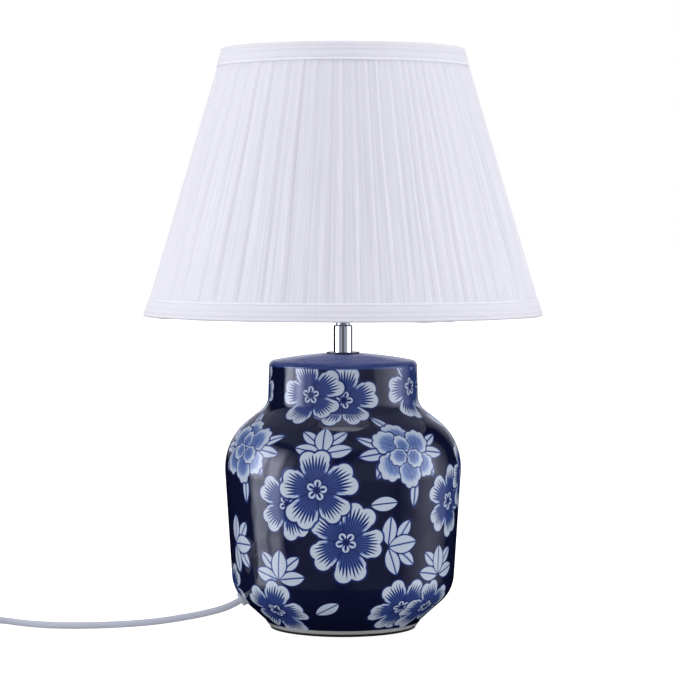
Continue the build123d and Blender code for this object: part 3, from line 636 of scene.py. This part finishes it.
levels = [COVER_LOW, COVER_LOW + UNDER_TRIM, COVER_LOW + PAST_TRIM]
levels += [COVER_LOW + share * (COVER_HIGH - COVER_LOW) for share in FREE_LEVELS]
levels += [COVER_HIGH - PAST_TRIM, COVER_HIGH - UNDER_TRIM, COVER_HIGH]
folds = list(fold_line())
cover_bm = bmesh.new()
bmesh.ops.create_circle(cover_bm, segments=len(folds), radius=MM)
for vert, (angle, rise) in zip(cover_bm.verts, folds):
    reach = crest_radius(COVER_LOW) - PLEAT_DEPTH * (1 - rise)
    vert.co = (reach * MM * math.cos(angle), reach * MM * math.sin(angle), COVER_LOW * MM)
bottom_ring = list(cover_bm.edges)
ring = bottom_ring
for before, after in zip(levels, levels[1:]):
    pull = crest_radius(after) / crest_radius(before)
    ring, verts = extrude_ring(cover_bm, ring)
    bmesh.ops.scale(cover_bm, verts=verts, vec=(pull, pull, 1))
    bmesh.ops.translate(cover_bm, verts=verts, vec=(0, 0, (after - before) * MM))
for height in (COVER_HIGH, COVER_LOW):
    ring, verts = extrude_ring(cover_bm, ring)
    back = shade_radius(height) + BACK_OFFSET
    for vert in verts:
        across = Vector((vert.co.x, vert.co.y, 0)).normalized() * back * MM
        vert.co = (across.x, across.y, height * MM)
bmesh.ops.bridge_loops(cover_bm, edges=ring + bottom_ring)
print("cover has", len(cover_bm.faces), "faces on", len(folds), "folds")

# %% Press the pleats under the trims and let them wander a little
WANDER_DEG = 0.22
BACK_MARGIN = 0.1
for vert in cover_bm.verts:
    height = vert.co.z / MM
    angle = math.atan2(vert.co.y, vert.co.x)
    reach = math.hypot(vert.co.x, vert.co.y) / MM
    depth = crest_radius(height) - reach
    if reach > shade_radius(height) + BACK_OFFSET + BACK_MARGIN:
        reach += depth * (1 - PRESSED) * (1 - fullness(height))
    share = (height - COVER_LOW) / (COVER_HIGH - COVER_LOW)
    sway = math.sin(9 * angle + 5 * share) + math.sin(23 * angle - 4 * share)
    angle += math.radians(WANDER_DEG) * sway * math.sin(math.pi * share)
    vert.co = (reach * MM * math.cos(angle), reach * MM * math.sin(angle), vert.co.z)
pleated_cloth = add_piece("pleated_cloth", cover_bm, "shade", PLEAT_CLOTH, smooth_deg=25)
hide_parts("pleated_cover")
print("pleated cloth", len(pleated_cloth.data.polygons), "faces")

# %% [markdown]
# ## The trim bands
# A folded cloth band covers the pleats' raw edges at the top and the bottom. It is about 13 mm deep,
# with two soft crease lines along it and a thin piped edge next to the pleats, and it turns in under
# the wire ring. The band is a drawn section, spun round, and then the ring is made a little uneven.
# A few small lumps of thread hang from the lower edge of the bottom band.

# %% Sew the trim bands
TRIM_STEPS = 240
BAND_SECTION = [
    (-1.45, 12.1), (-1.20, 12.7), (-0.50, 12.9), (-0.05, 12.5), (0.00, 11.9), (-0.20, 11.4), (-0.62, 11.1),
    (-0.30, 10.5), (-0.10, 9.0), (-0.02, 6.4), (-0.28, 6.0), (0.06, 5.6), (0.12, 3.3), (-0.16, 2.9),
    (0.16, 2.5), (0.18, 1.4), (0.00, 0.5), (-0.60, 0.0), (-4.6, 0.1), (-8.2, 0.0), (-8.95, 0.7),
    (-8.95, 6.8), (-8.55, 7.1), (-8.15, 6.8), (-8.15, 1.1), (-4.6, 0.9), (-0.95, 1.0), (-0.85, 6.0),
    (-1.00, 10.8),
]
# Painted highlight: the bands are painted lighter along the piped edges next to the pleats.
PIPING_HIGHLIGHTS = [(SHADE_LOW + 12.2, 0.8, 0.09), (SHADE_HIGH - 12.2, 0.8, 0.09)]
# Painted shade: the bottom band is darker along its lower edge, where it turns under, and faintly along its
# lower fold.
PAINTED_SHADE_LINES = [(SHADE_LOW + 0.1, 0.6, -0.34), (SHADE_LOW + 3.0, 0.4, -0.06)]
THREAD_LUMPS, LUMP_DROP, LUMP_ABOVE = [(-152, 2.0), (-67, 3.0), (-60, 1.6)], 0.7, 0.4
RIPPLE_LIFT = 0.6
TRIM_CLOTH = cloth_material("trim_cloth", (0.83, 0.83, 0.88), 0.05, 0.05, PIPING_HIGHLIGHTS + PAINTED_SHADE_LINES)


def sew_trim(name, edge, direction):
    """Band round an edge of the shade. Direction is 1 at the bottom and -1 at the top."""
    section = []
    for offset, rise in BAND_SECTION:
        height = edge + direction * rise
        section.append((shade_radius(height) + offset, height))
    bm = spin_profile(section, TRIM_STEPS)
    for vert in bm.verts:
        angle = math.atan2(vert.co.y, vert.co.x)
        ripple = 0.10 * math.sin(7 * angle + edge) + 0.08 * math.sin(17 * angle)
        ripple += 0.05 * math.sin(41 * angle)
        vert.co += Vector((math.cos(angle), math.sin(angle), RIPPLE_LIFT * direction)) * (ripple * MM)
        if direction > 0 and vert.co.z / MM < edge + LUMP_ABOVE:
            for lump_deg, wide_deg in THREAD_LUMPS:
                away = (math.degrees(angle) - lump_deg) / wide_deg
                vert.co.z -= LUMP_DROP * MM * math.exp(-away * away)
    trim = add_piece(name, bm, "shade", TRIM_CLOTH, smooth_deg=60)
    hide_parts(name.replace("_band", "_trim"))
    return trim


top_band = sew_trim("top_band", SHADE_HIGH, -1)
bottom_band = sew_trim("bottom_band", SHADE_LOW, 1)
print("trim bands", len(top_band.data.polygons), "and", len(bottom_band.data.polygons), "faces")

# %% [markdown]
# ## The glaze
# The jar carries a traditional blue and white pattern of blossoms, peonies and leaves on a very dark
# blue ground. It could be a picture, but a picture is only as sharp as its pixels, so each motif is a
# formula of distance and angle, and one number called paint says how much blue is left: 0 is the bare
# ground and 1 is white. Motifs are laid over each other from the back to the front, the way a painter
# works. The layout repeats after half a turn, so the back of the jar is as full as the front. The lip is
# plain blue, and the dome above it is a brighter plain blue: painted light that makes up for the shadow
# of the shade on it. The foot is bare clay.

# %% Helpers for painting
def lay_over(step, below, paint, mask):
    """Paint on top of what is below, where the mask is 1."""
    return step("MULTIPLY_ADD", mask, step("SUBTRACT", paint, below), below)


def turned(step, u, v, start, angle_deg):
    """Place along and across a line that leans by an angle, from its start."""
    cosine, sine = math.cos(math.radians(angle_deg)), math.sin(math.radians(angle_deg))
    x = step("SUBTRACT", u, start[0])
    y = step("SUBTRACT", v, start[1])
    along = step("MULTIPLY_ADD", x, cosine, step("MULTIPLY", y, sine))
    return along, step("MULTIPLY_ADD", y, cosine, step("MULTIPLY", x, -sine))


MOTIF_INPUTS = ["U", "V", "Paint"]
print("painting helpers ready")

# %% Place a motif on the jar
def draw_place(_, step, angle, radius, height, u, v, at_angle, at_height, size, turn):
    """Position inside the nearest motif of a layer, in units of the motif's size."""
    swing = step("WRAP", step("SUBTRACT", angle, at_angle), math.pi / 2, -math.pi / 2)
    x = step("DIVIDE", step("MULTIPLY", swing, radius), size)
    y = step("DIVIDE", step("SUBTRACT", height, at_height), size)
    cosine = step("COSINE", turn)
    sine = step("SINE", turn)
    new_u = step("MULTIPLY_ADD", x, cosine, step("MULTIPLY", y, sine))
    new_v = step("SUBTRACT", step("MULTIPLY", y, cosine), step("MULTIPLY", x, sine))
    nearer = step("LESS_THAN", length(step, new_u, new_v), length(step, u, v))
    return lay_over(step, u, new_u, nearer), lay_over(step, v, new_v, nearer)


PLACE = make_group(
    "place a motif", ["Angle", "Radius", "Height", "U", "V", "At angle", "At height", "Size", "Turn"],
    ["U", "V"], draw_place,
)

# %% Paint a blossom
# Lengths are shares of the blossom's radius, and paint goes from 0 to 1.
PETALS, STROKES = 5, 11
DARK_LINE, PETAL_WHITE = 0.14, 0.97
PETAL_MIDDLE, PETAL_LONG, PETAL_WIDE = 0.57, 0.33, 0.365
LOBE_OUT, LOBE_BESIDE, LOBE_RADIUS = 0.755, 0.165, 0.215
HEART_RADIUS = 0.38
GAP_FROM, GAP_WIDENS = 0.46, 0.22
STROKE_FROM, STROKE_TO = 0.60, 0.89


def petal_frame(step, r, around):
    """Place in the nearest petal: the swing off its middle line, and how far along and across it."""
    swing = step("MULTIPLY", step("SUBTRACT", step("FRACT", around), 0.5), 2 * math.pi / PETALS)
    return swing, step("MULTIPLY", r, step("COSINE", swing)), step("MULTIPLY", r, step("SINE", swing))


def petal_shape(step, r, swing, x, y, own):
    """How far a place is inside a notched petal, and how far from the seam to the next petal."""
    long = step("DIVIDE", step("SUBTRACT", x, PETAL_MIDDLE), PETAL_LONG)
    oval = length(step, long, step("DIVIDE", y, PETAL_WIDE))
    inward = step("MULTIPLY", step("SUBTRACT", 1.0, oval), 0.35)
    beside = step("SUBTRACT", step("ABSOLUTE", step("MULTIPLY_ADD", own, 0.05, y)), LOBE_BESIDE)
    lobe = length(step, step("SUBTRACT", x, LOBE_OUT), beside)
    inward = step("MAXIMUM", inward, step("SUBTRACT", LOBE_RADIUS, lobe))
    inward = step("MAXIMUM", inward, step("SUBTRACT", HEART_RADIUS, r))
    seam = step("MULTIPLY", step("SUBTRACT", math.pi / PETALS, step("ABSOLUTE", swing)), r)
    gap = step("MULTIPLY", step("MAXIMUM", step("SUBTRACT", r, GAP_FROM), 0.0), GAP_WIDENS)
    return step("MINIMUM", inward, step("SUBTRACT", seam, gap)), seam


def paint_petals(step, below, rho, phi):
    """Five notched petals. Blue strokes run out from the middle and leave the tips white."""
    around = step("MULTIPLY", phi, PETALS / (2 * math.pi))
    own = step("SINE", step("MULTIPLY_ADD", step("FLOOR", around), 2.4, 0.7))
    r = step("DIVIDE", rho, step("MULTIPLY_ADD", own, 0.06, 0.98))
    swing, x, y = petal_frame(step, r, around)
    inward, seam = petal_shape(step, r, swing, x, y, own)
    paint = lay_over(step, below, DARK_LINE, past(step, inward, -0.045, 0.05))
    stroke = step("MULTIPLY", around, STROKES)
    wave = step("ABSOLUTE", step("MULTIPLY_ADD", step("FRACT", stroke), 2.0, -1.0))
    uneven = step("SINE", step("MULTIPLY", step("FLOOR", step("ADD", stroke, 0.5)), 2.3))
    reach = step("MULTIPLY_ADD", step("MULTIPLY", y, y), -1.0, STROKE_TO)
    reach = step("MULTIPLY_ADD", uneven, 0.05, reach)
    tip = step("DIVIDE", step("SUBTRACT", r, STROKE_FROM), step("SUBTRACT", reach, STROKE_FROM))
    rim = step("MAXIMUM", past(step, inward, 0.055, 0.05), within(step, r, 0.50, 0.10))
    blue = step("MULTIPLY", past(step, wave, tip, 0.30), rim)
    wash = step("MULTIPLY_ADD", r, 0.26, 0.29)
    wash = lay_over(step, wash, DARK_LINE, past(step, wave, 0.60, 0.40))
    petal = lay_over(step, PETAL_WHITE, wash, blue)
    petal = lay_over(step, petal, DARK_LINE, within(step, seam, 0.014, 0.02))
    return lay_over(step, paint, petal, soft_edge(step, inward, 0.025))


def draw_blossom(_, step, u, v, below):
    """Petals with a rosette of five looped stamens in the middle."""
    rho = length(step, u, v)
    phi = step("ARCTAN2", v, u)
    paint = paint_petals(step, below, rho, phi)
    around = step("MULTIPLY_ADD", phi, PETALS / (2 * math.pi), 0.2)
    _, x, y = petal_frame(step, rho, around)
    loop = length(step, step("SUBTRACT", x, 0.168), y)
    drop = length(step, step("DIVIDE", step("SUBTRACT", x, 0.140), 2.4), y)
    for distance, limit, soft, level in (
        (loop, 0.118, 0.03, 0.15), (loop, 0.090, 0.02, 0.95),
        (drop, 0.030, 0.02, DARK_LINE), (rho, 0.060, 0.02, DARK_LINE),
    ):
        paint = lay_over(step, paint, level, within(step, distance, limit, soft))
    return [paint]


BLOSSOM = make_group("blossom", MOTIF_INPUTS, ["Paint"], draw_blossom)

# %% Paint leaves
LEAF_EDGE, LEAF_WHITE, LEAF_RIB = 0.17, 0.94, 0.24


def leaf(step, below, u, v, base, lean_deg, long, wide, rib_half=0.024):
    """Pointed leaf with a dark midrib. The lean is its angle from +U."""
    x, off = turned(step, u, v, base, lean_deg)
    along = step("DIVIDE", x, long)
    belly = step("MAXIMUM", step("MULTIPLY", along, step("SUBTRACT", 1.0, along)), 0.0)
    half = step("MULTIPLY", step("POWER", step("MULTIPLY", belly, 4.0), 0.8), wide)
    ends = step("MULTIPLY", step("SUBTRACT", 0.5, step("ABSOLUTE", step("SUBTRACT", along, 0.5))), long)
    inward = step("MINIMUM", step("SUBTRACT", half, step("ABSOLUTE", off)), ends)
    inside = soft_edge(step, inward, 0.03)
    paint = lay_over(step, below, LEAF_EDGE, past(step, inward, -0.045, 0.04))
    paint = lay_over(step, paint, LEAF_WHITE, inside)
    bow = step("MULTIPLY_ADD", belly, -0.16 * wide, off)
    rib = within(step, step("ABSOLUTE", bow), rib_half, 0.03)
    return lay_over(step, paint, LEAF_RIB, step("MULTIPLY", rib, inside))


def draw_spray(_, step, u, v, below):
    """Five leaves from one point, the same on both sides of the middle one."""
    side = step("ABSOLUTE", u)
    paint = leaf(step, below, side, v, (0.19, 0.36), 42, 0.74, 0.20)
    paint = leaf(step, paint, side, v, (0.07, 0.00), 12, 0.92, 0.24)
    return [leaf(step, paint, u, v, (0.0, 0.03), 90, 1.0, 0.29)]


def draw_leaf(_, step, u, v, below):
    """One leaf by itself, along U."""
    return [leaf(step, below, u, v, (-1.0, 0.0), 0, 2.0, 0.50, rib_half=0.048)]


SPRAY = make_group("leaf spray", MOTIF_INPUTS, ["Paint"], draw_spray)
SINGLE_LEAF = make_group("single leaf", MOTIF_INPUTS, ["Paint"], draw_leaf)

# %% Paint a peony
# Each petal has its middle, its two half sizes and its tilt in degrees. The first ones lie at the back.
PEONY_PETALS = [
    ((-0.14, 0.66), (0.42, 0.36), -15), ((0.62, -0.40), (0.38, 0.34), -35),
    ((-0.54, 0.36), (0.42, 0.40), 30), ((0.50, 0.34), (0.40, 0.42), -30),
    ((-0.52, -0.42), (0.41, 0.42), -20), ((0.10, -0.62), (0.36, 0.44), 10),
    ((-0.05, 0.30), (0.23, 0.30), 14), ((0.31, -0.19), (0.29, 0.27), -40),
    ((-0.26, -0.13), (0.29, 0.25), 30),
]
# Each leaf has its base, its lean in degrees, its length and half its width.
SIDE_LEAVES = [
    ((0.62, 0.14), 27, 0.86, 0.15), ((0.72, -0.16), -66, 0.66, 0.14), ((0.58, 0.02), -9, 0.90, 0.18),
]
END_LEAVES = [((-0.20, 0.80), 128, 0.66, 0.14), ((0.27, -0.78), -92, 0.84, 0.14)]
PEONY_EDGE, PEONY_WHITE = 0.16, 0.94
BLUE_SHIFT, BLUE_RADIUS = 0.30, 0.82


def round_petal(step, below, u, v, middle, half, tilt_deg):
    """Petal with a scalloped white rim, and blue on the side of the flower's middle."""
    along, up = turned(step, u, v, middle, tilt_deg)
    x = step("DIVIDE", along, half[0])
    y = step("DIVIDE", up, half[1])
    scallop = step("ABSOLUTE", step("SINE", step("MULTIPLY", step("ARCTAN2", y, x), 4.0)))
    inward = step("SUBTRACT", step("MULTIPLY_ADD", scallop, 0.14, 0.90), length(step, x, y))
    paint = lay_over(step, below, PEONY_EDGE, past(step, inward, -0.11, 0.08))
    away = math.atan2(middle[1], middle[0]) - math.radians(tilt_deg)
    blue_x = step("ADD", x, BLUE_SHIFT * math.cos(away))
    blue_y = step("ADD", y, BLUE_SHIFT * math.sin(away))
    from_blue = length(step, blue_x, blue_y)
    streak = step("SINE", step("MULTIPLY_ADD", x, 15.0, step("MULTIPLY", y, 9.0)))
    blue = step("MULTIPLY_ADD", streak, 0.06, step("SUBTRACT", BLUE_RADIUS, from_blue))
    blue = step("MULTIPLY", soft_edge(step, blue, 0.32), past(step, inward, 0.14, 0.12))
    wash = step("MULTIPLY_ADD", from_blue, 0.14, step("MULTIPLY_ADD", streak, 0.03, 0.48))
    return lay_over(step, paint, lay_over(step, PEONY_WHITE, wash, blue), soft_edge(step, inward, 0.06))


def draw_peony(_, step, u, v, paint):
    """Nine overlapping petals, with leaves that stick out from behind them."""
    side = step("ABSOLUTE", u)
    for shape in SIDE_LEAVES:
        paint = leaf(step, paint, side, v, *shape)
    for shape in END_LEAVES:
        paint = leaf(step, paint, u, v, *shape)
    for shape in PEONY_PETALS:
        paint = round_petal(step, paint, u, v, *shape)
    return [paint]


PEONY = make_group("peony", MOTIF_INPUTS, ["Paint"], draw_peony)

# %% Lay out the pattern
# Each motif has its angle from the front and its turn in degrees, and its height and size in millimetres.
SPRAYS = [
    (-10, 134, 21, 0), (-34, 42, 21, -4), (22.5, 67, 22, -83), (56, 43, 21, 2), (-68, 64, 22, -88),
    (84, 150, 20, -40),
]
LEAVES = [(20, 98, 10, 4), (-8.6, 18.6, 10.4, 36), (-86, 92, 9, 80)]
REAR_BLOSSOMS = [
    (0.5, 181, 25, -23), (-27.5, 97.5, 25.5, 39), (1.4, 71, 29, 29), (62, 96, 26, 40), (33, 19, 25, 14),
    (-88, 186, 22, 30), (-80, 28, 23, 10),
]
FRONT_BLOSSOMS = [
    (-25, 184.4, 25, -6), (-12.5, 108, 29.2, -13), (62, 189, 26, 3), (82, 113, 24, 0), (-41, 14, 27, 34),
    (53, 16, 24, -4),
]
PEONIES = [(32, 134, 24, 0), (-58, 135, 24, 0)]
LAYERS = [
    (SPRAYS, SPRAY), (LEAVES, SINGLE_LEAF), (REAR_BLOSSOMS, BLOSSOM), (FRONT_BLOSSOMS, BLOSSOM),
    (PEONIES, PEONY),
]
FAR_AWAY = 40.0


def paint_layers(tree, around, height):
    """Paint of the whole pattern at a place on the jar, from the bare ground up."""
    paint = 0.0
    for motifs, group in LAYERS:
        u, v = FAR_AWAY, FAR_AWAY
        for angle, rise, size, turn in motifs:
            u, v = place_group(
                tree, PLACE, Angle=around["Angle"], Radius=around["Radius"], Height=height, U=u, V=v,
                At_angle=math.radians(angle), At_height=rise, Size=size, Turn=math.radians(turn),
            )
        paint = place_group(tree, group, Paint=paint, U=u, V=v)["Paint"]
    return paint


print("pattern of", sum(len(motifs) for motifs, _ in LAYERS), "motifs, twice round the jar")

# %% Mix the glaze
# The paint's colours from the bare ground to white, and then heights and lengths in millimetres.
GLAZE_STOPS = [
    (0.0, (0.006, 0.008, 0.030)), (0.2, (0.018, 0.026, 0.125)), (0.45, (0.050, 0.095, 0.30)),
    (0.7, (0.25, 0.345, 0.58)), (1.0, (0.57, 0.635, 0.69)),
]
FOOT_TOP, FOOT_SOFT, BARE_CLAY = 4.6, 0.4, (0.53, 0.54, 0.52)
LIP_FROM, LIP_SOFT, LIP_PAINT = 190.6, 0.8, 0.33
# The dome is a brighter blue than the lip: painted light that makes up for the shadow the shade casts on
# it.
DOME_FROM, DOME_SOFT, DOME_PAINTED_LIGHT_BLUE = 194.5, 3.0, (0.055, 0.095, 0.42)
WALL_RADIUS = 84.0
WALL_MIDDLE, MIDDLE_SOFT = 90.0, 20.0
SLANT_BELOW, SLANT_ABOVE = -0.45, 0.41
GLAZE_ROUGHNESS, CLAY_ROUGHER = 0.05, 0.10
RIPPLE_SCALE, RIPPLE_DETAIL, RIPPLE_DEPTH = 0.05, 1, 0.5


def glaze_material():
    """Glaze over the pattern, which follows the wall's slope where the jar narrows."""
    material, tree, shader = new_material("blue_white_glaze", IOR=1.5)
    step = maths(tree)
    around = place_group(tree, ROUND)
    height = around["Height"]
    narrowing = step("MAXIMUM", step("SUBTRACT", WALL_RADIUS, around["Radius"]), 0.0)
    upper = past(step, height, WALL_MIDDLE, MIDDLE_SOFT)
    slant = step("MULTIPLY_ADD", upper, SLANT_ABOVE - SLANT_BELOW, SLANT_BELOW)
    paint = paint_layers(tree, around, step("MULTIPLY_ADD", narrowing, slant, height))
    paint = lay_over(step, paint, LIP_PAINT, past(step, height, LIP_FROM, LIP_SOFT))
    ramp = tree.nodes.new("ShaderNodeValToRGB")
    stops = ramp.color_ramp.elements
    while len(stops) < len(GLAZE_STOPS):
        stops.new(0.5)
    for stop, (place, colour) in zip(stops, GLAZE_STOPS):
        stop.position = place
        stop.color = (*colour, 1)
    tree.links.new(paint, ramp.inputs[0])
    colour = ramp.outputs[0]
    # The dome takes its brighter blue as painted light, and the foot takes bare clay.
    dome = past(step, height, DOME_FROM, DOME_SOFT)
    bare = within(step, height, FOOT_TOP, FOOT_SOFT)
    for share, coat in ((dome, DOME_PAINTED_LIGHT_BLUE), (bare, BARE_CLAY)):
        mix = tree.nodes.new("ShaderNodeMix")
        mix.data_type = "RGBA"
        mix.inputs["B"].default_value = (*coat, 1)
        tree.links.new(share, mix.inputs["Factor"])
        tree.links.new(colour, mix.inputs["A"])
        colour = mix.outputs["Result"]
    tree.links.new(colour, shader["Base Color"])
    tree.links.new(step("MULTIPLY_ADD", bare, CLAY_ROUGHER, GLAZE_ROUGHNESS), shader["Roughness"])
    ripple = add_noise(tree, object_place(tree), RIPPLE_SCALE, RIPPLE_DETAIL)
    add_bump(tree, shader, ripple, RIPPLE_DEPTH)
    return material


GLAZE = glaze_material()
print("glaze has", len(GLAZE.node_tree.nodes), "nodes")

# %% [markdown]
# ## Finishes of the solids
# The turned and moulded solids keep their own shape, so they only need a finish. Each group of solids
# that would come out of the same box of parts shares one material: rubber, chrome, zinc-plated steel,
# brass, nickel, white moulded plastic, fired steatite and opal plastic. The chrome of the stem and its
# flange carries painted shade past its outer edge, which faces away from the light.

# %% Finish the jar and the stem
CHROME = (0.80, 0.81, 0.83, 1)
# Past its edge the chrome carries painted shade, and it is rougher there.
EDGE_SOFT, EDGE_PAINTED_SHADE, EDGE_ROUGHER = 0.3, -0.9, 0.3
FLANGE_EDGE_RADIUS, TUBE_EDGE_HEIGHT = 11.6, 219.4


def finish_solids(material, *names):
    """Gives solids a material in place of the plain one they came with."""
    for name in names:
        mesh = solids[name].data
        mesh.materials.clear()
        mesh.materials.append(material)


def edged_chrome(name, coordinate, edge_at):
    """Chrome with painted shade past an edge, where it turns away from the light."""
    material, tree, shader = new_material(name, Metallic=1.0)
    step = maths(tree)
    edge = past(step, place_group(tree, ROUND)[coordinate], edge_at, EDGE_SOFT)
    skin = place_group(tree, SKIN, Colour=CHROME, Clouds=0.03, Roughness=0.05, Grain=0.4)
    colour = scaled(tree, skin["Colour"], step("MULTIPLY_ADD", edge, EDGE_PAINTED_SHADE, 1.0))
    tree.links.new(colour, shader["Base Color"])
    tree.links.new(step("MULTIPLY_ADD", edge, EDGE_ROUGHER, skin["Roughness"]), shader["Roughness"])
    return material


finish_solids(GLAZE, "ceramic_body")
finish_solids(edged_chrome("tube_chrome", "Height", TUBE_EDGE_HEIGHT), "stem_tube")
finish_solids(edged_chrome("flange_chrome", "Radius", FLANGE_EDGE_RADIUS), "stem_flange")
print("jar and stem finished")

# %% Finish the other solids
# Each finish has its colour, roughness, clouds, grain and the grain's depth in millimetres, then other
# sockets of the shader, and then its solids.
METAL = {"Metallic": 1.0}
GLOW = {"Subsurface_Weight": 0.35, "Subsurface_Scale": 0.004}
MILKY = {"Transmission_Weight": 0.25}
FINISHES = {
    "pad_rubber": ((0.006, 0.006, 0.007), 0.9, 0.3, 2.0, 0.08, {}, ["base_pad", "rubber_washer"]),
    "zinc_steel": (
        (0.58, 0.59, 0.61), 0.34, 0.25, 1.2, 0.03, METAL,
        ["threaded_pipe", "steel_washer", "hex_nut", "rocker_pin", "switch_screws", "terminal_screws"],
    ),
    "white_plastic": (
        (0.78, 0.78, 0.80), 0.32, 0.05, 1.5, 0.02, {},
        ["holder_cap", "holder_barrel", "clamp_ring", "bulb_housing"],
    ),
    "steatite": ((0.76, 0.74, 0.69), 0.55, 0.12, 2.5, 0.05, {}, ["holder_insulator"]),
    "brass": (
        (0.70, 0.50, 0.22), 0.28, 0.2, 1.0, 0.02, METAL,
        ["centre_contact", "terminal_posts", "switch_contacts"],
    ),
    "nickel": ((0.66, 0.63, 0.58), 0.22, 0.15, 1.0, 0.02, METAL, ["thread_shell", "bulb_cap", "plug_pins"]),
    "liner_film": ((0.72, 0.74, 0.84), 0.42, 0.06, 0.5, 0.03, {}, ["shade_liner"]),
    "white_wire": (
        (0.74, 0.74, 0.75), 0.30, 0.10, 0.8, 0.04, {},
        ["top_ring", "bottom_ring", "fitter_ring", "fitter_arms"],
    ),
    "solder": ((0.52, 0.53, 0.55), 0.40, 0.3, 1.0, 0.05, METAL, ["bulb_contact"]),
    "opal": ((0.84, 0.84, 0.82), 0.28, 0.03, 0.5, 0.01, GLOW, ["bulb_diffuser"]),
    "switch_plastic": (
        (0.74, 0.75, 0.77), 0.36, 0.05, 2.2, 0.03, {},
        ["switch_lower_case", "switch_upper_case", "switch_rocker", "plug_body"],
    ),
    "milky_pvc": ((0.78, 0.80, 0.83), 0.25, 0.08, 0.8, 0.02, MILKY, ["cord_grommet"]),
    "nylon": ((0.76, 0.76, 0.74), 0.45, 0.08, 2.0, 0.03, {}, ["cord_stop", "coil_tie"]),
    "sleeve_black": ((0.015, 0.015, 0.016), 0.40, 0.2, 2.0, 0.02, {}, ["pin_sleeves"]),
}
for label, (*look, sockets, names) in FINISHES.items():
    finish_solids(skin_material(label, *look, **sockets), *names)
print(len(FINISHES), "finishes")

# %% [markdown]
# ## The wires inside
# The cord goes on inside the jar, up through the threaded pipe into the holder's cap, where its two
# cores part and reach the terminals. They are drawn the same way as the cord outside, as splines.

# %% Inner cord and its cores
INNER_ROUTE = [
    (-74.72, -13.18, 20.60), (-49.13, -8.67, 35.60), (-28, -5, 60), (-15, -2.7, 92), (-5.5, -1, 122),
    (-0.8, 0, 150), (0, 0, 178), (0, 0, 225),
]
CORE_RADIUS = 1.0
CORE_BROWN = skin_material("core_brown", (0.11, 0.035, 0.012), 0.4, clouds=0.1, grain=1.5, depth_mm=0.02)
CORE_BLUE = skin_material("core_blue", (0.02, 0.07, 0.32), 0.4, clouds=0.1, grain=1.5, depth_mm=0.02)
inner_line = add_cord("inner_line", INNER_ROUTE, CORD_RADIUS, CORD_SHEATH, "cord_pvc")
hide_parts("inner_cord")
for side, name, solid, material, slot in (
    (1, "brown_core", "live_core", CORE_BROWN, "core_brown"),
    (-1, "blue_core", "neutral_core", CORE_BLUE, "core_blue"),
):
    route = [(side * 1.2, 0, 225), (side * 1.2, 0, 231), (side * 8.5, 0, 234.5), (side * 8.5, 0, 236.5)]
    core = add_cord(name, route, CORE_RADIUS, material, slot)
    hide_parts(solid)
print("inner cord", round(line_length(inner_line), 3), "m")
